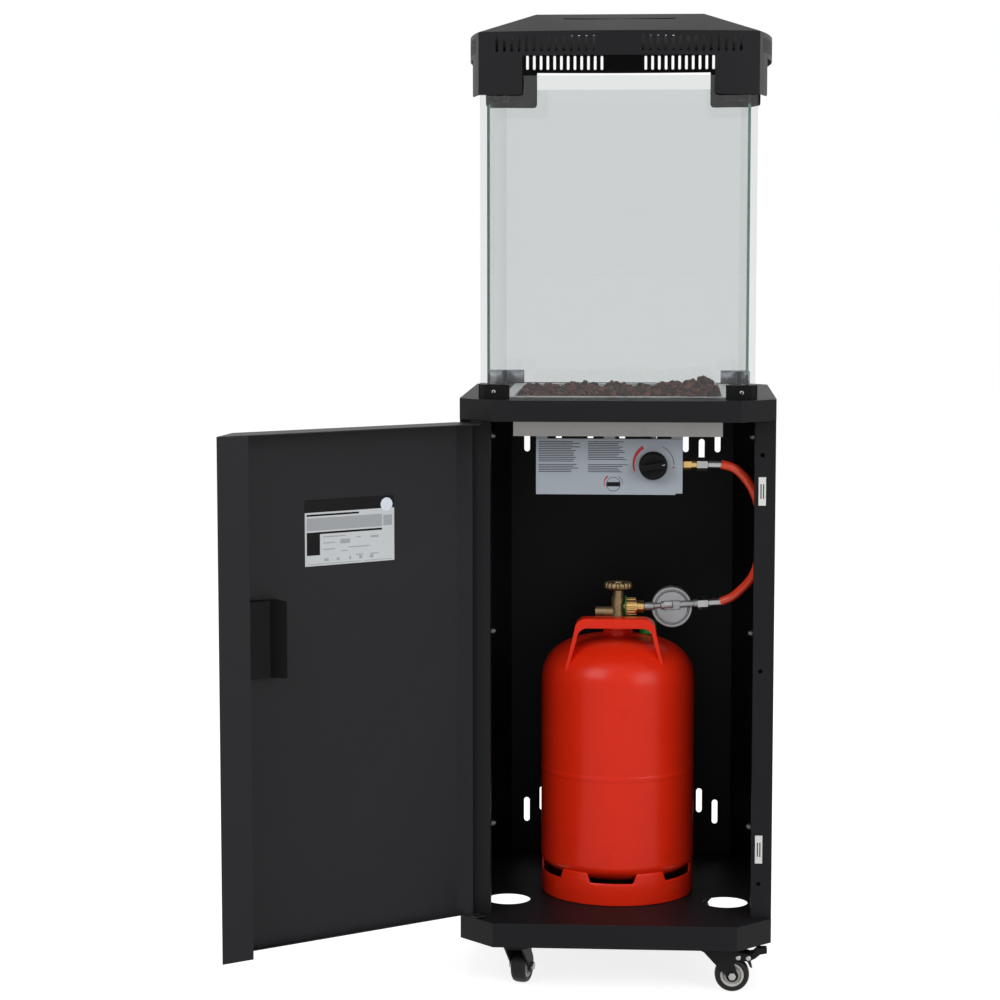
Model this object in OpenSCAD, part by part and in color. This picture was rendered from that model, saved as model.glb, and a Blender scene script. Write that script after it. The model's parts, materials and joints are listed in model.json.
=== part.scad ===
// Gas patio heater: a steel cabinet on casters that holds a gas bottle behind a door,
// a burner pan in its table top, and four glass panes under a slotted hood.
// Millimetres, +Z up. The origin lies on the floor under the middle of the cabinet, and the front faces -Y.

/* [Cabinet] */
// Width and depth of the eight-sided tray and table
foot_w = 450; // [440:1:470]
// Leg of the 45 degree corner cuts
corner = 50; // [46:1:54]
// Thickness of the folded steel sheet
sheet_t = 1.5; // [1:0.1:2]
// Height of the tray skirt
tray_h = 35; // [28:1:42]
// Clear height between the tray and the table skirt
cabinet_h = 722; // [700:1:760]
// Height of the table skirt
table_h = 30; // [26:1:36]
// Diameter of the hand holes in the tray
hand_hole_d = 66; // [50:1:72]
// Distance of the hand holes from the middle plane
hand_hole_x = 161; // [150:1:165]
// Distance of the hand holes in front of the centre
hand_hole_y = 83; // [76:1:88]
// Width of the front flange of the left post
post_left_w = 43; // [36:1:46]
// Width of the front flange of the right post
post_right_w = 29.5; // [28:0.5:36]
// Depth of the posts' inner flange
post_inner_d = 25; // [15:1:30]
// Diameter of the dome screw heads
screw_d = 9; // [6:0.5:11]
// Height of the lowest post screws above the tray
screw_low = 132; // [100:1:200]
// Distance of the highest post screws below the table skirt
screw_high = 25; // [15:1:60]
// Diameter of the free holes in the right post
post_hole_d = 6.5; // [4:0.5:8]
// Distance of the outer free holes from the ends of the right post
post_hole_end = 50; // [35:1:60]

/* [Vents] */
// Number of vent slots in a row
vent_count = 13; // [9:2:13]
// Distance between vent slots
vent_pitch = 25; // [20:1:27]
// Width of a vent slot
vent_w = 9; // [5:0.5:11]
// Height of a vent slot
vent_h = 39; // [25:1:45]
// Height difference between neighbouring slots
vent_step = 18; // [0:1:24]
// Height of the lower row above the tray
vent_low = 47; // [30:1:80]
// Distance of the upper row's lower edge below the table skirt
vent_high = 98; // [85:1:130]

/* [Door] */
// Angle at which the door stands open
door_open = 143; // [60:1:143]
// Gap above the door
door_gap = 4; // [3:0.5:6]
// Gap below the door
door_lift = 2; // [1.5:0.5:4]
// Depth of the door's bottom flange
door_floor = 13; // [10:1:20]
// Reach of the hinge side past the tray's corner fold
door_over = 7; // [4:1:8]
// Length of the slanted flange on the hinge side
door_hinge_flange = 24; // [15:1:25]
// Width of the lip that meets the catches
door_lip = 46; // [30:1:48]
// Distance of the hinge axis from the left side
hinge_from_side = 26.5; // [26:0.5:28]
// Distance of the hinge axis behind the front
hinge_from_front = 30; // [29:0.5:31]
// Diameter of the hinge pins
hinge_pin_d = 5; // [4:0.5:6]
// Height of the handle cup
cup_h = 106; // [80:1:130]
// Width of the handle cup's mouth
cup_w = 41; // [34:1:44]
// Depth of the handle cup
cup_d = 33; // [28:1:36]
// Width of the finger pocket behind the door's face
cup_pocket = 17; // [12:1:18]
// Height of the middle of the handle cup above the tray
cup_z = 434; // [350:1:520]
// Width of a magnetic catch
catch_w = 10.5; // [8:0.5:13]
// Height of a magnetic catch
catch_h = 40.5; // [30:0.5:50]
// Distance of the catches' middles from the ends of the right post
catch_end = 101.5; // [80:0.5:140]
// Distance of the catches' middles from the right post's inner edge
catch_in = 10.5; // [8:0.5:12]

/* [Firebox] */
// Thickness of a glass pane
pane_t = 4; // [3:0.5:5]
// Height of a glass pane
pane_h = 451; // [380:1:480]
// Clearance of the front and rear panes' ends from the hood's corners
pane_clear = 2; // [1.5:0.5:4]
// Set-back of the front and rear panes' faces from the line of their ends
pane_set = 3; // [2.5:0.5:5]
// Reach of the front and rear panes past the side panes
pane_reach = 9.5; // [6:0.5:12]
// Height of a lower glass bracket
bracket_h = 20.5; // [14:0.5:30]
// Length of a glass bracket's legs
bracket_leg = 44; // [34:1:50]
// Wall of a glass bracket outside the glass
bracket_wall = 6; // [4:0.5:7]

/* [Hood] */
// Straight distance between the hood's corners
hood_w = 392; // [390:1:400]
// Outward bow of each side
hood_bow = 23.5; // [14:0.5:25]
// Height of the hood from its leg ends to the eave
hood_h = 87; // [75:1:100]
// Width of a hood leg
hood_leg = 62; // [50:1:75]
// Height of the slotted band
hood_band = 33; // [31:1:40]
// Overlap of the legs over the glass
hood_overlap = 27; // [18:1:34]
// Rise of the roof above the eave
roof_rise = 30; // [20:1:40]
// Width of the flat roof plate
roof_flat = 238; // [180:1:260]
// Number of slots in half a side
hood_slots = 14; // [8:1:14]
// Distance between the slots
hood_slot_pitch = 10.45; // [9:0.05:10.6]
// Width of a slot
hood_slot_w = 4; // [2.5:0.5:5]
// Height of a slot
hood_slot_h = 21.5; // [15:0.5:22]
// Distance of the first slot from the middle
hood_slot_start = 34; // [20:1:36]
// Length of the slit in a roof slope
roof_slit = 157; // [100:1:170]

/* [Burner] */
// Width of the burner pan
pan_w = 300; // [280:1:310]
// Depth of the pan box below the table
pan_h = 56; // [50:1:64]
// Depth of the pan floor below the table
pan_floor = 21; // [18:1:26]
// Width of the pan's rim on the table
pan_rim = 15; // [10:1:18]
// Width of the burner plate
burner_w = 200; // [190:1:205]
// Thickness of the burner plate
burner_h = 10; // [6:1:12]
// Number of lava rocks in a row
rock_rows = 8; // [8:1:8]
// Distance between lava rocks
rock_pitch = 35; // [33.5:0.5:35]

/* [Control panel] */
// Width of the control panel
panel_w = 210; // [190:1:230]
// Height of the control panel
panel_h = 80; // [75:1:90]
// Distance of the panel's middle left of the centre
panel_left = 12; // [0:1:20]
// Distance of the knob right of the centre
knob_x = 51; // [40:1:55]
// Height of the knob above the panel's lower edge
knob_up = 42.5; // [38:0.5:48]
// Diameter of the knob
knob_d = 41; // [34:1:44]
// Length of the knob from back to grip
knob_len = 22; // [18:1:26]
// Push travel of the knob
knob_push = 4; // [3:0.5:4]
// Diameter of the valve spindle
spindle_d = 8; // [6:0.5:8]

/* [Gas bottle] */
// Diameter of the bottle
bottle_d = 229; // [215:1:235]
// Height of the straight side above the tray
bottle_side = 315; // [295:1:318]
// Height of the domed shoulder
bottle_dome = 73; // [66:1:76]
// Wall of the bottle
bottle_wall = 3; // [2:0.5:4]
// Diameter of the neck
neck_d = 44; // [38:1:50]
// Height of the neck ring
neck_h = 15; // [8:1:18]
// Half width of the carrying handle's flat top
handle_top = 38; // [34:1:42]
// Half width of the carrying handle at its feet
handle_foot = 75; // [70:1:80]
// Height of the carrying handle from its feet to its top
handle_drop = 82; // [78:1:84]
// Height of the web along the carrying handle's front
handle_web = 14.5; // [10:0.5:16]
// Height of the weld band above the tray
weld_z = 198; // [150:1:230]
// Height of the foot ring
foot_ring_h = 44; // [36:1:54]
// Diameter of the hand wheel
wheel_d = 42; // [36:1:46]
// Height of the outlet above the tray
outlet_z = 430; // [429:0.5:434]
// Diameter of the regulator
regulator_d = 61; // [50:1:64]

/* [Casters] */
// Height from the floor to the tray skirt
caster_h = 70; // [70:1:74]
// Diameter of a wheel
tyre_d = 50; // [46:1:50]
// Width of a wheel
tyre_w = 22; // [18:1:24]
// Distance of the wheel axle from the swivel axis
trail = 26; // [22:1:28]
// Distance of the swivel axes from the base tray's sides
swivel_side = 82; // [79:1:89]
// Distance of the swivel axes from the base tray's front and rear
swivel_end = 45; // [41:1:53]
// Diameter of the axle bolt
axle_d = 6; // [5:0.5:8]

/* [Hidden] */
$fn = 48;

// Clearances: running fit on a radius, gap between moving faces, seat gap, and the overshoot of a cut
run = 0.05;
move_gap = 0.3;
seat = 0.3;
cut = 1;

// Colours
steel_black = [0.14, 0.14, 0.15];
stainless = [0.72, 0.72, 0.70];
zinc = [0.70, 0.72, 0.74];
brass = [0.72, 0.56, 0.28];
bottle_red = [0.80, 0.12, 0.06];
cap_green = [0.05, 0.42, 0.14];
glass_tint = [0.80, 0.88, 0.86, 0.35];
plastic_black = [0.06, 0.06, 0.06];

// Heights of the main levels
tray_z0 = caster_h;
tray_z1 = tray_z0 + tray_h;
table_z0 = tray_z1 + cabinet_h;
table_z1 = table_z0 + table_h;

// Plan of the cabinet, whose walls stand on the tray's edge and carry the table skirt
tab_inset = 0.5;
catch_proud = 3.5;
catch_gap = 0.5;
half = foot_w / 2;
swivel_x = half - swivel_side;
swivel_y = half - swivel_end;
rear_fold_y = half - corner;
lip_y = corner - half;
post_y = lip_y + catch_proud + catch_gap;
post_side_d = 31;
panel_return = 22;
post_screw_z = [screw_low, (screw_low + cabinet_h - screw_high) / 2, cabinet_h - screw_high];
catch_x = half - post_right_w + catch_in;
catch_z = [catch_end, cabinet_h - catch_end];

// Door in its closed position
door_z0 = tray_z1 + door_lift;
door_z1 = table_z0 - door_gap;
fold_x = corner - half - door_over;
hinge_x = hinge_from_side - half;
hinge_y = hinge_from_front - half;
hinge_tab_t = 3;
hinge_tab_gap = 0.5;
pin_head_d = 9;
pin_head_h = 2.5;
cup_wall = 2;
cup_bezel = 3;
cup_x1 = half - corner - 5;

// Firebox plan and levels
pane_w = hood_w - 2 * pane_clear;
pane_out = pane_w / 2 - pane_set;
side_out = pane_w / 2 - pane_reach;
side_w = 2 * (pane_out - pane_t - seat);
pane_back = 4;
bracket_floor = 2;
bracket_bevel = 8;
clip_bevel = 1;
pane_z0 = table_z1 + bracket_floor;
pane_z1 = pane_z0 + pane_h;
hood_z0 = pane_z1 - hood_overlap;
eave_z = hood_z0 + hood_h;
clip_cap = 4;
clip_h = 18;

// Hood plan: each side is an arc of one radius
bow_r = hood_w * hood_w / (8 * hood_bow) + hood_bow / 2;
bow_c = bow_r - hood_w / 2 - hood_bow;
bow_steps = 8;
hood_slot_drop = 6.5;
leg_round = 6;

// Burner levels
pan_z0 = table_z1 - pan_h;
pan_floor_z = table_z1 - pan_floor;
pan_gap = 1;
pan_flange = 15;
burner_z1 = pan_floor_z + sheet_t + burner_h;
rock_r = 16;
rock_seed = 7;
probe_x = 17.5;
probe_gap = 8;

// Control panel and gas valve
panel_y = -pan_w / 2 - sheet_t;
panel_hang = 3.5;
panel_z1 = pan_z0 - panel_hang;
panel_z0 = panel_z1 - panel_h;
panel_return_d = 14;
knob_z = panel_z0 + knob_up;
knob_gap = 5;
knob_tilt = 10;
spindle_hole = 6;
valve_w = 36;
valve_h = 32;
valve_d = 38;
gas_y = panel_y + 23.5;
spindle_flat = 2.5;
spindle_grip = 13;

// Gas bottle
bottle_x = -1;
bottle_y = -8;
bottle_r = bottle_d / 2;
dome_z0 = tray_z1 + bottle_side;
dome_z1 = dome_z0 + bottle_dome;
bottom_z = tray_z1 + 22;
bottom_dome = 34;
dome_power = 2.6;
dome_steps = 12;
weld_gap = 0.1;
handle_gap = 0.3;
handle_x = bottle_x - 3;
valve_bore = 9;
valve_body_r = 10;
outlet_d = 12;
outlet_h = tray_z1 + outlet_z;
port_drop = 8;

// Gas line: lengths of the fittings along the axis of each hose end
fit_hex = 15;
nut_hex = 17;
fitting_len = 19;
nut_len = 15.5;
ferrule_len = 18;
ferrule_d = 11.5;
line_gap = 1.5;
hose_d = 13;
hose_sides = 10;
fit_len = nut_len + line_gap + ferrule_len;
hose_top = [148.5, gas_y, knob_z];
hose_end = [152.5, bottle_y, outlet_h + 8];
hose_route = [
  hose_top, [165.5, -127.5, 755], [178, -125.5, 745.5], [188, -121.5, 733], [195.5, -116, 720],
  [201.5, -108, 703.5], [205.5, -97, 683], [207.4, -84, 659], [207.4, -69, 635], [205.5, -55, 612],
  [201, -42, 593], [193.5, -31, 578], [183, -21.5, 565], [169, -12.5, 551.5], hose_end
];
line_start = [bottle_x + 38.5, bottle_y, outlet_h];
line_tilt = atan2(hose_end.z - line_start.z, hose_end.x - line_start.x);
line_len = norm(hose_end - line_start);

// Casters
plate_w = 56;
plate_t = 2.5;
head_r = 21;
head_h = 4.5;
king_r = 4;
king_head_r = 7;
crown_t = 3;
cheek_t = 2.5;
cheek_gap = 1;
crown_z1 = caster_h - plate_t - head_h - move_gap;
crown_z0 = crown_z1 - crown_t;
axle_z = tyre_d / 2;
rim_r = 17;
pedal_t = 23;
pedal_up = 27;
pedal_w = tyre_w - 2;
bracket_t = 3;
bracket_x = 125;
bracket_y = 95;
corners = [[1, -1], [-1, -1], [1, 1], [-1, 1]];
caster_turn = [0, 75, 180, 0];

// Chamfer leg of an eight-sided outline moved inwards by d
function inset_corner(c, d) = c - (2 - sqrt(2)) * d;
// Points of a bowed square: arcs through the hood's corners, moved inwards by d
function bow_half(d) = asin((hood_w / 2 - d) / bow_r);
function bow_point(side, a, d) =
  let(p = [(bow_r - d) * sin(a), (bow_r - d) * cos(a) - bow_c])
  [p.x * cos(side) - p.y * sin(side), p.x * sin(side) + p.y * cos(side)];
function bow_outline(d) = [
  for (side = [0 : 90 : 270], k = [0 : bow_steps - 1])
    bow_point(side, bow_half(d) * (1 - 2 * k / bow_steps), d)
];
// Height of the shoulder at radius r, and points of a shoulder that starts at angle a0 from the axis
function dome_at(r) = dome_z0 + bottle_dome * pow(1 - pow(r / bottle_r, dome_power), 1 / dome_power);
function dome_angle(r, outer) = asin(pow(r / outer, dome_power / 2));
function dome_points(outer, high, a0) = [
  for (k = [0 : dome_steps])
    let(a = 90 - (90 - a0) * k / dome_steps)
    [outer * pow(sin(a), 2 / dome_power), dome_z0 + high * pow(cos(a), 2 / dome_power)]
];
function unit(v) = v / norm(v);
function heights(v) = [for (p = v) p.z];

// Eight-sided plan outline
module octagon(w, c) {
  h = w / 2;
  polygon([
    [h, c - h], [h, h - c], [h - c, h], [c - h, h], [-h, h - c], [-h, c - h], [c - h, -h], [h - c, -h]
  ]);
}

// Wall of thickness t inside an eight-sided outline
module octagon_wall(w, c, t) {
  difference() {
    octagon(w, c);
    octagon(w - 2 * t, inset_corner(c, t));
  }
}

// Slot with round ends, standing in the XZ plane and cut through along Y
module slot_cut(w, h, depth) {
  rotate([90, 0, 0])
    linear_extrude(depth, center = true) {
      square([w, h - w], center = true);
      for (s = [-1, 1]) translate([0, s * (h - w) / 2]) circle(d = w);
    }
}

// Hexagon prism along +X with a bore
module hex_nut(flats, len, bore) {
  rotate([0, 90, 0])
    difference() {
      cylinder(d = flats / cos(30), h = len, $fn = 6);
      translate([0, 0, -cut]) cylinder(d = bore, h = len + 2 * cut);
    }
}

// Dome rivet head along +Z, its underside at zero
module dome_head(d) {
  intersection() {
    translate([0, 0, -d * 0.35]) sphere(d = d * 1.22);
    cylinder(d = d, h = d);
  }
}

// Flat bar of width w and thickness t from point a to point b
module bar(a, b, w, t) {
  d = b - a;
  translate(a)
    rotate([0, acos(d.z / norm(d)), atan2(d.y, d.x)]) translate([-t / 2, -w / 2, 0]) cube([t, w, norm(d)]);
}

// Tray that carries the cabinet, with hand holes and the lower hinge bore
module base_tray() {
  color(steel_black)
    translate([0, 0, tray_z0])
      difference() {
        linear_extrude(tray_h) octagon(foot_w, corner);
        translate([0, 0, -cut])
          linear_extrude(tray_h - sheet_t + cut)
            octagon(foot_w - 2 * sheet_t, inset_corner(corner, sheet_t));
        for (s = [-1, 1])
          translate([s * hand_hole_x, -hand_hole_y, 0]) cylinder(d = hand_hole_d, h = tray_h + cut);
        translate([hinge_x, hinge_y, 0]) cylinder(d = hinge_pin_d + 2 * run, h = tray_h + cut);
      }
}

// Plates across the tray's corners, which carry the casters
module caster_brackets() {
  inner = foot_w - 2 * sheet_t;
  color(steel_black)
    translate([0, 0, tray_z0])
      for (c = corners)
        linear_extrude(bracket_t)
          intersection() {
            octagon(inner, inset_corner(corner, sheet_t));
            translate([c.x * (inner - bracket_x) / 2, c.y * (inner - bracket_y) / 2])
              square([bracket_x, bracket_y], center = true);
          }
}

// Fixed part of each caster: top plate, swivel head and king pin
module caster_plates() {
  color(steel_black)
    for (c = corners)
      translate([c.x * swivel_x, c.y * swivel_y, 0]) {
        translate([0, 0, caster_h - plate_t / 2]) cube([plate_w, plate_w, plate_t], center = true);
        translate([0, 0, caster_h - plate_t - head_h]) cylinder(r = head_r, h = head_h + plate_t / 2);
        translate([0, 0, crown_z0 - move_gap - 2]) cylinder(r = king_r, h = caster_h - crown_z0);
        translate([0, 0, crown_z0 - move_gap - 2]) cylinder(r = king_head_r, h = 2);
      }
}

module side_panel(s) {
  color(steel_black)
    translate([s > 0 ? half - sheet_t : -half, post_y + sheet_t, tray_z1])
      cube([sheet_t, rear_fold_y - post_y - sheet_t, cabinet_h]);
}

module side_panel_left() side_panel(-1);
module side_panel_right() side_panel(1);

// Rear panel with chamfered corners, flanges inside the side panels and two rows of staggered vents
module rear_panel() {
  high = cabinet_h;
  rows = [[vent_low, 1], [cabinet_h - vent_high, 0]];
  color(steel_black)
    translate([0, 0, tray_z1])
      difference() {
        linear_extrude(high) {
          intersection() {
            octagon_wall(foot_w, corner, sheet_t);
            translate([-foot_w, rear_fold_y]) square([2 * foot_w, foot_w]);
          }
          for (s = [-1, 1])
            translate([s * (half - 1.5 * sheet_t) - sheet_t / 2, rear_fold_y - panel_return])
              square([sheet_t, panel_return + sheet_t / 2]);
        }
        for (row = rows, k = [0 : vent_count - 1])
          translate([
            (k - (vent_count - 1) / 2) * vent_pitch, half,
            row[0] + vent_h / 2 + ((k + row[1]) % 2 == 0 ? vent_step : 0)
          ])
            slot_cut(vent_w, vent_h, 4 * sheet_t);
      }
}

// Folded front post: flange inside the side panel, front flange and inner flange
module post_profile(s, w) {
  mirror([s < 0 ? 1 : 0, 0]) {
    translate([half - w, post_y]) square([w, sheet_t]);
    translate([half - 2 * sheet_t, post_y]) square([sheet_t, post_side_d]);
    translate([half - w, post_y]) square([sheet_t, post_inner_d]);
  }
}

// Left post with the tab that holds the upper hinge pin
module post_left() {
  tab_z = door_z1 + hinge_tab_gap;
  tab_w = 18;
  color(steel_black)
    difference() {
      union() {
        translate([0, 0, tray_z1]) linear_extrude(cabinet_h) post_profile(-1, post_left_w);
        translate([0, 0, tab_z])
          linear_extrude(hinge_tab_t)
            intersection() {
              octagon(foot_w - 2 * tab_inset, inset_corner(corner, tab_inset));
              translate([hinge_x - tab_w / 2, hinge_y - tab_w / 2])
                square([tab_w, post_y - hinge_y + tab_w / 2 + sheet_t]);
            }
      }
      translate([hinge_x, hinge_y, tab_z - cut]) cylinder(d = hinge_pin_d + 2 * run, h = hinge_tab_t + 2 * cut);
    }
}

// Right post, drilled for the catches' screws
module post_right() {
  color(steel_black)
    difference() {
      translate([0, 0, tray_z1]) linear_extrude(cabinet_h) post_profile(1, post_right_w);
      for (z = catch_z)
        translate([catch_x, post_y, tray_z1 + z])
          cube([catch_w + 2 * seat, 4 * sheet_t, catch_h + 2 * seat], center = true);
      for (z = [post_hole_end, cabinet_h / 2, cabinet_h - post_hole_end])
        translate([catch_x, post_y, tray_z1 + z])
          rotate([90, 0, 0]) cylinder(d = post_hole_d, h = 4 * sheet_t, center = true);
    }
}

// Dome heads of the fixings on the posts' inner flanges and on the glass brackets
module dome_screws() {
  post_x = [-(half - post_left_w + sheet_t), half - post_right_w];
  color(zinc) {
    for (z = post_screw_z) {
      translate([post_x[0] + sheet_t, post_y + post_inner_d / 2, tray_z1 + z])
        rotate([0, 90, 0]) dome_head(screw_d);
      translate([post_x[1], post_y + post_inner_d / 2, tray_z1 + z])
        rotate([0, -90, 0]) dome_head(screw_d);
    }
    for (c = corners)
      translate([c.x * (pane_out + bracket_wall - bracket_leg / 2), c.y * (pane_out + bracket_wall),
          table_z1 + bracket_h / 2])
        rotate([-90 * c.y, 0, 0]) dome_head(screw_d * 0.7);
  }
}

// Magnetic catches: a housing with two pole bars in its face
module magnetic_catches() {
  pole_w = 1.6;
  pole_h = catch_h * 0.5;
  body_d = 14;
  for (z = catch_z)
    translate([catch_x, post_y - catch_proud, tray_z1 + z]) {
      color("white")
        difference() {
          translate([-catch_w / 2, 0, -catch_h / 2]) cube([catch_w, body_d, catch_h]);
          for (s = [-1, 1])
            translate([s * pole_w - pole_w / 2, -cut, -pole_h / 2]) cube([pole_w, cut + 2, pole_h]);
        }
      color(zinc)
        for (s = [-1, 1])
          translate([s * pole_w - pole_w / 2, 0, -pole_h / 2]) cube([pole_w, 2, pole_h]);
    }
}

// Table top with its skirt and the opening for the burner pan
module table_top() {
  color(steel_black)
    translate([0, 0, table_z0])
      difference() {
        linear_extrude(table_h) octagon(foot_w, corner);
        translate([0, 0, -cut])
          linear_extrude(table_h - sheet_t + cut)
            octagon(foot_w - 2 * sheet_t, inset_corner(corner, sheet_t));
        cube([pan_w + 2 * pan_gap, pan_w + 2 * pan_gap, 3 * table_h], center = true);
      }
}

// Stainless pan: rim on the table, box walls, raised floor and a lower flange
module burner_pan() {
  inner = pan_w - 2 * sheet_t;
  rim_w = pan_w + 2 * pan_rim;
  pipe_hole = 10;
  color(stainless)
    difference() {
      union() {
        translate([-pan_w / 2, -pan_w / 2, pan_z0]) cube([pan_w, pan_w, pan_h + sheet_t]);
        translate([-rim_w / 2, -rim_w / 2, table_z1]) cube([rim_w, rim_w, sheet_t]);
      }
      translate([-inner / 2, -inner / 2, pan_floor_z + sheet_t]) cube([inner, inner, pan_h]);
      translate([-inner / 2, -inner / 2, pan_z0 + sheet_t])
        cube([inner, inner, pan_floor_z - pan_z0 - sheet_t]);
      translate([0, 0, pan_z0]) cube([inner - 2 * pan_flange, inner - 2 * pan_flange, 4 * sheet_t], center = true);
      translate([knob_x, pipe_bend_y(), pan_z0]) cylinder(d = pipe_hole, h = pan_h);
    }
}

// Flat burner with rows of gas ports
module burner_plate() {
  ports = 9;
  port_d = 4;
  step = (burner_w - 30) / (ports - 1);
  color(stainless)
    translate([0, 0, pan_floor_z + sheet_t])
      difference() {
        translate([-burner_w / 2, -burner_w / 2, 0]) cube([burner_w, burner_w, burner_h]);
        for (i = [0 : ports - 1], s = [-1, 1])
          translate([(i - (ports - 1) / 2) * step, s * burner_w * 0.3, burner_h / 2]) cylinder(d = port_d, h = burner_h);
        translate([knob_x, pipe_bend_y(), -cut]) cylinder(r = pipe_r() + run, h = 4 + cut);
      }
}

// One rock: a lumpy twenty-sided stone standing on its lowest point
module rock(seed, wide, tall) {
  g = (1 + sqrt(5)) / 2;
  size = rands(0.78, 1, 12, seed);
  corners_20 = [
    [-1, g, 0], [1, g, 0], [-1, -g, 0], [1, -g, 0], [0, -1, g], [0, 1, g],
    [0, -1, -g], [0, 1, -g], [g, 0, -1], [g, 0, 1], [-g, 0, -1], [-g, 0, 1]
  ];
  points = [
    for (i = [0 : 11])
      let(p = corners_20[i] / norm(corners_20[i]) * size[i]) [p.x * wide, p.y * wide, p.z * tall]
  ];
  faces = [
    [0, 5, 11], [0, 1, 5], [0, 7, 1], [0, 10, 7], [0, 11, 10], [1, 9, 5], [5, 4, 11], [11, 2, 10],
    [10, 6, 7], [7, 8, 1], [3, 4, 9], [3, 2, 4], [3, 6, 2], [3, 8, 6], [3, 9, 8], [4, 5, 9],
    [2, 11, 4], [6, 10, 2], [8, 7, 6], [9, 1, 8]
  ];
  translate([0, 0, -min(heights(points))]) polyhedron(points, faces);
}

// Bed of lava rocks on the burner and the pan floor, with one place left free for the probes
module lava_rocks() {
  last = rock_rows - 1;
  color([0.28, 0.13, 0.10])
    for (i = [0 : last], j = [0 : last])
      if (i != rock_rows / 2 || j != 0) {
        x = (i - last / 2) * rock_pitch;
        y = (j - last / 2) * rock_pitch;
        on_burner = max(abs(x), abs(y)) < burner_w / 2;
        translate([x, y, (on_burner ? burner_z1 : pan_floor_z + sheet_t) + run])
          rotate([0, 0, 37 * i + 61 * j])
            rock(rock_seed + i + rock_rows * j, rock_r, on_burner ? rock_r : rock_r + burner_h / 2);
      }
}

// Igniter and flame probe: ceramic bodies with bent-free wires
module burner_probes() {
  body_r = 4;
  body_h = 18;
  wire_r = 1;
  wire_h = 16;
  color("ivory")
    for (s = [-1, 1])
      translate([probe_x + s * probe_gap, -(rock_rows - 1) / 2 * rock_pitch, pan_floor_z + sheet_t]) {
        cylinder(r = body_r, h = body_h);
        cylinder(r = wire_r, h = body_h + wire_h);
      }
}

// Control panel hung by three spacers from the pan's lower flange, with a notch and the spindle hole
module control_panel() {
  notch = [10, 2];
  spacer = [16, 10];
  left = -panel_left - panel_w / 2;
  color([0.72, 0.73, 0.75])
    translate([left, panel_y, panel_z0])
      difference() {
        union() {
          cube([panel_w, sheet_t, panel_h]);
          translate([0, 0, panel_h - sheet_t]) cube([panel_w, panel_return_d, sheet_t]);
          cube([panel_w, panel_return_d, sheet_t]);
          for (x = [0, (panel_w - spacer.x) / 2, panel_w - spacer.x])
            translate([x, sheet_t, panel_h - sheet_t]) cube([spacer.x, spacer.y, panel_hang + sheet_t]);
        }
        translate([panel_w - notch.x, -cut, -cut]) cube([notch.x + cut, panel_return_d + 2 * cut, notch.y + cut]);
        translate([knob_x - left, 0, knob_up])
          rotate([90, 0, 0]) cylinder(r = spindle_hole, h = 4 * sheet_t, center = true);
      }
}

// Gas valve: body behind the panel, inlet stub to the right and outlet boss on top
module gas_valve() {
  y0 = panel_y + sheet_t;
  stub_r = 6;
  color([0.66, 0.66, 0.64])
    difference() {
      union() {
        translate([knob_x - valve_w / 2, y0, knob_z - valve_h / 2]) cube([valve_w, valve_d, valve_h]);
        translate([knob_x, gas_y, knob_z]) rotate([0, 90, 0]) cylinder(r = stub_r, h = fitting_x() - knob_x);
        translate([knob_x, gas_y, knob_z]) cylinder(r = stub_r + 1, h = valve_h / 2 + 6);
      }
      translate([knob_x, y0 - cut, knob_z]) rotate([-90, 0, 0]) cylinder(r = spindle_d / 2 + run, h = 30 + cut);
      translate([knob_x, gas_y, knob_z + valve_h / 2]) cylinder(r = pipe_r() + run, h = 6 + cut);
    }
}

function pipe_r() = 4;
function pipe_bend_y() = gas_y + 50;
function fitting_x() = hose_top.x - fit_len - fitting_len;

// Pipe from the valve's outlet up, back and up again into the burner
module gas_pipe() {
  r = pipe_r();
  z0 = knob_z + valve_h / 2;
  z1 = pan_z0 + 14;
  z2 = pan_floor_z + sheet_t + 4;
  color(stainless) {
    translate([knob_x, gas_y, z0]) cylinder(r = r, h = z1 - z0);
    translate([knob_x, gas_y, z1]) sphere(r = r);
    translate([knob_x, gas_y, z1]) rotate([-90, 0, 0]) cylinder(r = r, h = pipe_bend_y() - gas_y);
    translate([knob_x, pipe_bend_y(), z1]) sphere(r = r);
    translate([knob_x, pipe_bend_y(), z1]) cylinder(r = r, h = z2 - z1);
  }
}

// Brass fitting on the valve's inlet stub
module inlet_fitting() {
  color(brass)
    translate([fitting_x(), gas_y, knob_z]) {
      hex_nut(fit_hex, fitting_len * 0.6, 6);
      rotate([0, 90, 0])
        difference() {
          cylinder(d = fit_hex * 0.8, h = fitting_len);
          translate([0, 0, -cut]) cylinder(d = 6, h = fitting_len + 2 * cut);
        }
    }
}

// Union nut and crimped ferrule along +X
module hose_fitting() {
  hex_nut(nut_hex, nut_len, 6);
  translate([nut_len, 0, 0])
    rotate([0, 90, 0])
      difference() {
        union() {
          cylinder(d = ferrule_d * 0.8, h = line_gap + ferrule_len);
          translate([0, 0, line_gap]) cylinder(d = ferrule_d, h = ferrule_len);
        }
        translate([0, 0, -cut]) cylinder(d = 6, h = line_gap + ferrule_len + 2 * cut);
      }
}

// Nuts and ferrules at both ends of the hose
module hose_fittings() {
  color(zinc) {
    translate([hose_top.x - fit_len, hose_top.y, hose_top.z]) hose_fitting();
    line_pose() translate([line_len - fit_len, 0, 0]) hose_fitting();
  }
}

// Turns what lies along +X onto the sloping axis of the lower gas line
module line_pose() {
  translate(line_start) rotate([0, -line_tilt, 0]) children();
}

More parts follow.
